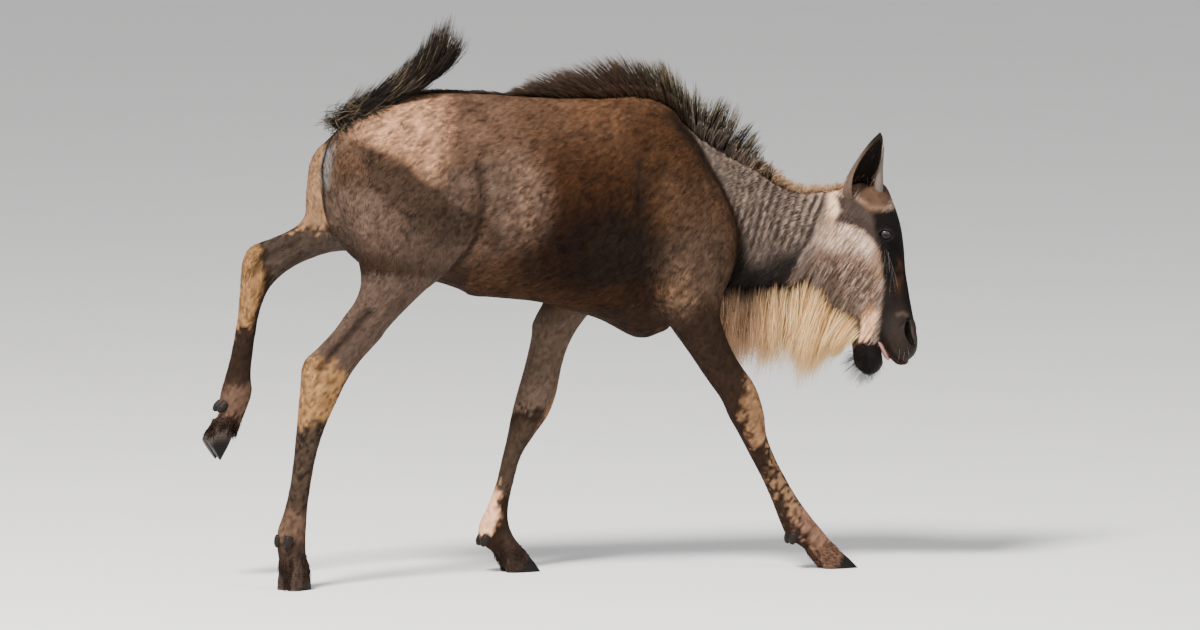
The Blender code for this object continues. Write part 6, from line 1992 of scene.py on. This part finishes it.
def horns(material):
    for side in (1, -1):
        base, tip = mirrored(HORN_BASE, side), mirrored(HORN_TIP, side)
        steps = 56
        shares = [-0.1 + 1.1 * i / steps for i in range(steps + 1)]
        bow = Vector((-0.003, side * 0.003, 0))
        path = [base.lerp(tip, t) + bow * math.sin(math.pi * t) for t in shares]
        radii = np.interp(shares, [-0.1, 0.15, 0.4, 0.7, 0.92, 1.0], [0.0105, 0.0098, 0.0082, 0.0060, 0.0036, 0.0010])
        rings = [1 + 0.035 * max(0.0, 0.6 - t) * math.sin(t * 60) for t in shares]
        radii = [radius * ring for radius, ring in zip(radii, rings)]
        name = "horn_left" if side > 0 else "horn_right"
        spike = strand(name + "_spike", path, radii, radii, Vector((0, 1, 0)), 28)
        height = np.clip((vertices(spike)[:, 2] - base.z) / (tip.z - base.z), 0, 1)[:, None]
        low = smooth_step((0.35 - height) / 0.3)
        set_colours(spike, "coat", np.asarray(HORN_PALE) * (1 - low) + np.asarray(HORN_BASE_TONE) * low)
        ready(moved(spike, HEAD_FRAME), material, name, slot="horn")


def eyes(material):
    for side in (1, -1):
        name = "eye_left" if side > 0 else "eye_right"
        globe = ball(name + "_globe", mirrored(EYE, side), (EYE_RADIUS,) * 3, 72, 48)
        away = (vertices(globe) - np.array(mirrored(EYE, side))) / EYE_RADIUS
        outward = away[:, 1] * side
        across, up = away[:, 0], away[:, 2]
        rim = np.hypot(across, up)
        iris = smooth_step((0.74 - rim) / 0.05) * (outward > 0)
        pupil = smooth_step((1.0 - np.hypot(across / 0.42, (up + 0.06) / 0.20)) / 0.25) * (outward > 0)
        ring = np.exp(-(((rim - 0.72) / 0.05) ** 2)) * (outward > 0)
        colours = np.tile([0.050, 0.036, 0.032], (len(away), 1))
        colours = blend(colours, iris, (0.011, 0.0072, 0.0062))
        # Painted reflection of a pale sky over the upper part of the iris
        painted_reflection = iris * smooth_step((up - 0.02) / 0.25)
        colours = blend(colours, 0.9 * painted_reflection, (0.040, 0.034, 0.036))
        colours = blend(colours, pupil, (0.003, 0.003, 0.004))
        colours = blend(colours, 0.8 * ring, (0.006, 0.005, 0.006))
        set_colours(globe, "coat", colours)
        ready(moved(globe, HEAD_FRAME), material, name, slot="eye")


def tongue(material):
    path = [(0.634, 0.466), (0.644, 0.452), (0.652, 0.438), (0.658, 0.425), (0.661, 0.418)]
    path = [Vector((point[0], -0.008, point[1])) for point in through(path, 6)]
    widths = [row[0] for row in through([(0.015, 0), (0.016, 0), (0.016, 0), (0.013, 0), (0.004, 0)], 6)]
    depths = [row[0] for row in through([(0.005, 0), (0.0055, 0), (0.006, 0), (0.0055, 0), (0.002, 0)], 6)]
    piece = strand("tongue_flesh", path, widths, depths, Vector((0, 1, 0)), 20)
    set_colours(piece, "coat", np.tile([0.340, 0.150, 0.140], (len(piece.data.vertices), 1)))
    ready(moved(piece, HEAD_FRAME), material, "tongue", slot="tongue")


HOOF_BLACK = (0.0085, 0.0072, 0.0066)
HOOF_PALE_AND_HIGHLIGHT = (0.070, 0.054, 0.043)


def toed_in(thing, leg):
    """Turns a foot's piece about the upright through the middle of its hoof."""
    front, rear, toe, heel = leg["hoof"]
    pivot = Vector(((front[0] + rear[0]) / 2, leg["middle"], 0))
    side = 1 if leg["middle"] > 0 else -1
    turn = Matrix.Rotation(-side * math.radians(leg["toe_in"]), 4, "Z")
    return moved(thing, Matrix.Translation(pivot) @ turn @ Matrix.Translation(-pivot))


# How far back along the sole each foot's claws are bare, from 0 at the heel to 1 at the toe
CLAWS_BARE_FROM = {"fore_right": 0.30, "fore_left": 0.30, "hind_right": 0.10, "hind_left": -1.00}
CLAWS_BARE_TO = {"fore_right": 0.74, "fore_left": 0.74, "hind_right": 0.30, "hind_left": 1.15}


def hooves(material, coat_material):
    spines, across, tones, places = [], [], [], []
    for name, leg in LEGS.items():
        outer = 1 if leg["middle"] > 0 else -1
        for side, place in ((outer, "outer"), (-outer, "inner")):
            front, rear, toe, heel = [Vector(point) for point in leg["hoof"]]
            sections = []
            for t, square, half in CLAW_STEPS:
                a, b = front.lerp(toe, t), rear.lerp(heel, t)
                inset = 0.03 + 0.11 * min(1.0, max(0.0, 1 - t / 0.6))
                a, b = a.lerp(b, inset), b.lerp(a, inset)
                offset = leg["middle"] + side * (CLAW_SPREAD + 0.001 * t)
                sections.append((a.x, a.y, b.x, b.y, offset, CLAW_HALF_WIDTH * half, square, -0.28))
            hoof = loft(f"{name}_claw_{place}", sections, sides=40, between=6)
            points = vertices(hoof)
            ahead = unit(np.array([(toe - heel)[:]]))[0]
            share = ((points[:, [0, 2]] - np.array(heel)) @ ahead) / (toe - heel).length
            up = np.linalg.norm(np.array(front) - np.array(toe))
            height = np.clip((points[:, 2] - min(toe.y, heel.y)) / up, 0, 1)
            pale = smooth_step((0.30 - share) / 0.25) * smooth_step((0.75 - height) / 0.4)
            # Painted highlight along the upper parts of the hind left claws
            if name == "hind_left":
                pale = np.maximum(pale, 0.8 * smooth_step((height - 0.45) / 0.3))
            colours = blend(np.tile(HOOF_BLACK, (len(points), 1)), pale, HOOF_PALE_AND_HIGHLIGHT)
            own = coat_colours(points)
            bare_from = CLAWS_BARE_FROM[name]

            def furred(points):
                height = np.clip((points[:, 2] - min(toe.y, heel.y)) / up, 0, 1)[:, None]
                before = np.array(toe) * (1 - height) + np.array(front) * height
                behind = np.array(heel) * (1 - height) + np.array(rear) * height
                way = before - behind
                share = ((points[:, [0, 2]] - behind) * way).sum(1) / (way**2).sum(1)
                height = height[:, 0]
                line = CLAWS_BARE_TO[name] * (share - bare_from) / (1 - bare_from) + 0.05 * waves(points, 0.010, 95)
                return smooth_step((height - line) / 0.08) * (points[:, 2] > 0.003)

            mask = furred(points)[:, None]
            set_colours(hoof, "coat", colours * (1 - mask) + own * mask)
            roots, ups = roots_on(hoof, lambda places, normals: 2.8e5 * furred(places))
            way = unit(np.array([[toe.x + heel.x - front.x - rear.x, 0, toe.y + heel.y - front.y - rear.y]]))
            heading = unit(way + 0.22 * rng.normal(size=roots.shape))
            heading = unit(heading - ups * (heading * ups).sum(1, keepdims=True) + ups * 0.16)
            length = rng.uniform(0.004, 0.009, (len(roots), 1))
            spines.append(np.stack([roots - ups * 0.0004, roots + heading * length], 1))
            across.append(np.cross(ups, heading))
            tone = coat_colours(roots) * np.clip(rng.normal(1, 0.26, (len(roots), 1)), 0.35, 2.0)
            # Each tuft darker at its root and lighter at its tip, as painted shade and painted light
            tones.append(np.stack([tone * 0.75, tone * 1.25], 1))
            places.append(np.stack([np.clip(roots[:, 0] + 0.76, 0, 1.4) / 1.45, np.clip(0.5 + roots[:, 1] * 4, 0, 0.99)], 1))
            ready(toed_in(hoof, leg), material, f"{name}_hoof_{place}", slot="hoof")
            spur = dewclaw(f"{name}_spur_{place}", leg, side)
            set_colours(spur, "coat", np.tile([0.014, 0.0110, 0.0095], (len(spur.data.vertices), 1)))
            ready(spur, material, f"{name}_dewclaw_{place}", slot="hoof")
    spines, across, tones, places = [np.concatenate(rows) for rows in (spines, across, tones, places)]
    fur = blades(
        "claw_fur", spines, np.full((len(spines), 1), 0.00068), across, tones, np.clip(places, 0.002, 0.995)
    )
    ready(fur, coat_material, slot="leg_coat", smooth=False)


def dewclaw(name, leg, side):
    x, z, heading = leg["dewclaw"]
    heading = math.radians(heading)
    ahead = Vector((math.cos(heading), 0, math.sin(heading)))
    root = Vector((x, leg["middle"] + side * 0.0135, z))
    rows = through([(0, 0.0080, 0.0090), (0.3, 0.0088, 0.0098), (0.7, 0.0078, 0.0082), (1.0, 0.0032, 0.0032)], 6)
    path = [root + ahead * (DEWCLAW_LENGTH * (row[0] - 0.45)) for row in rows]
    spur = strand(name, path, [row[1] for row in rows], [row[2] for row in rows], Vector((0, 1, 0)), 20)
    return toed_in(spur, leg)


# Floor, light and camera
CAMERA_AZIMUTH = math.radians(-20)
CAMERA_ELEVATION = math.radians(5)
CAMERA_DISTANCE = 26.0
FRAME_WIDTH = 2.4
FRAME_CENTRE = Vector((0.064, 0.0, 0.517))


def direction(azimuth, elevation):
    """From the animal towards a place round it: azimuth 0 is its right side, 90 is ahead of it."""
    azimuth, elevation = math.radians(azimuth), math.radians(elevation)
    flat = math.cos(elevation)
    return Vector((math.sin(azimuth) * flat, -math.cos(azimuth) * flat, math.sin(elevation)))


def aimed(thing, place, target):
    thing.location = place
    thing.rotation_euler = (target - place).to_track_quat("-Z", "Y").to_euler()
    bpy.context.scene.collection.objects.link(thing)
    return thing


def soft_light(name, azimuth, elevation, away, size, power, colour):
    lamp = bpy.data.lights.new(name, "AREA")
    lamp.shape = "DISK"
    lamp.size = size
    lamp.energy = power
    lamp.color = colour
    target = FRAME_CENTRE + SHIFT
    return aimed(bpy.data.objects.new(name, lamp), target + direction(azimuth, elevation) * away, target)


def stage_and_light():
    mesh = bmesh.new()
    bmesh.ops.create_grid(mesh, x_segments=8, y_segments=8, size=90)
    floor = finished(mesh, "floor")
    finish = Finish("floor_paper")
    tone = finish.noise(3.0, 2.0)
    finish.set("Base Color", finish.mixed(tone, (0.86, 0.86, 0.86, 1), (0.90, 0.90, 0.90, 1)))
    finish.set("Roughness", 0.85 + 0.1 * tone)
    floor.data.materials.append(finish.material)
    world = bpy.data.worlds.new("studio")
    world.use_nodes = True
    sky = world.node_tree.nodes["Background"]
    sky.inputs["Color"].default_value = (1.0, 1.0, 1.0, 1)
    sky.inputs["Strength"].default_value = 0.58
    bpy.context.scene.world = world
    soft_light("key", -50, 50, 9.0, 2.4, 2050.0, (1.0, 0.965, 0.92))
    soft_light("fill", 35, 25, 10.0, 5.0, 190.0, (0.95, 0.97, 1.0))


def camera():
    lens = bpy.data.cameras.new("camera")
    lens.sensor_fit = "HORIZONTAL"
    lens.sensor_width = 36.0
    lens.lens = 36.0 * CAMERA_DISTANCE / FRAME_WIDTH
    lens.clip_end = 400.0
    target = FRAME_CENTRE + SHIFT
    back = direction(math.degrees(CAMERA_AZIMUTH), math.degrees(CAMERA_ELEVATION))
    bpy.context.scene.camera = aimed(bpy.data.objects.new("camera", lens), target + back * CAMERA_DISTANCE, target)


def skin(material):
    body = folded(shaped_head(finer_head(rough_body())))
    straight, angle = straightened(vertices(body))
    fields = coat_fields(straight)
    colours = coat_colours(straight)
    bare = np.clip(fields["bare"] + bare_place(straight), 0, 1)
    x, y, z = straight.T
    nose = smooth_step((x - 0.668) / 0.02) * smooth_step((0.50 - z) / 0.02) * (z > 0.37)
    bare = np.clip(np.maximum(bare, nose), 0, 1)
    set_colours(body, "coat", colours)
    set_numbers(body, "bare", bare)
    return body


def main():
    camera()
    stage_and_light()
    skin_material = skin_finish()
    coat_material = coat_finish()
    dark_material = hair_finish("dark_hair", 0.42)
    pale_material = hair_finish("pale_hair", 0.50)
    body = skin(skin_material)
    print("skin", len(triangles_of(body)))
    coat(body, coat_material)
    mane(body, dark_material)
    beard(body, pale_material)
    cheek_fur(body, pale_material)
    chin_bristles(body, dark_material)
    whiskers_and_lashes(body, pale_material, dark_material)
    coronet_hair(body, coat_material)
    tail(dark_material)
    ears(skin_material, coat_material, pale_material)
    horns(horn_finish())
    eyes(eye_finish())
    tongue(tongue_finish())
    hooves(hoof_finish(), coat_material)
    flesh = ["torso", "neck", "head"]
    for name, leg in LEGS.items():
        flesh += [f"{name}_{part}" for part in (leg["upper"], "cannon", "foot")]
    ready(body, skin_material, *flesh, slot="trunk_coat")


main()
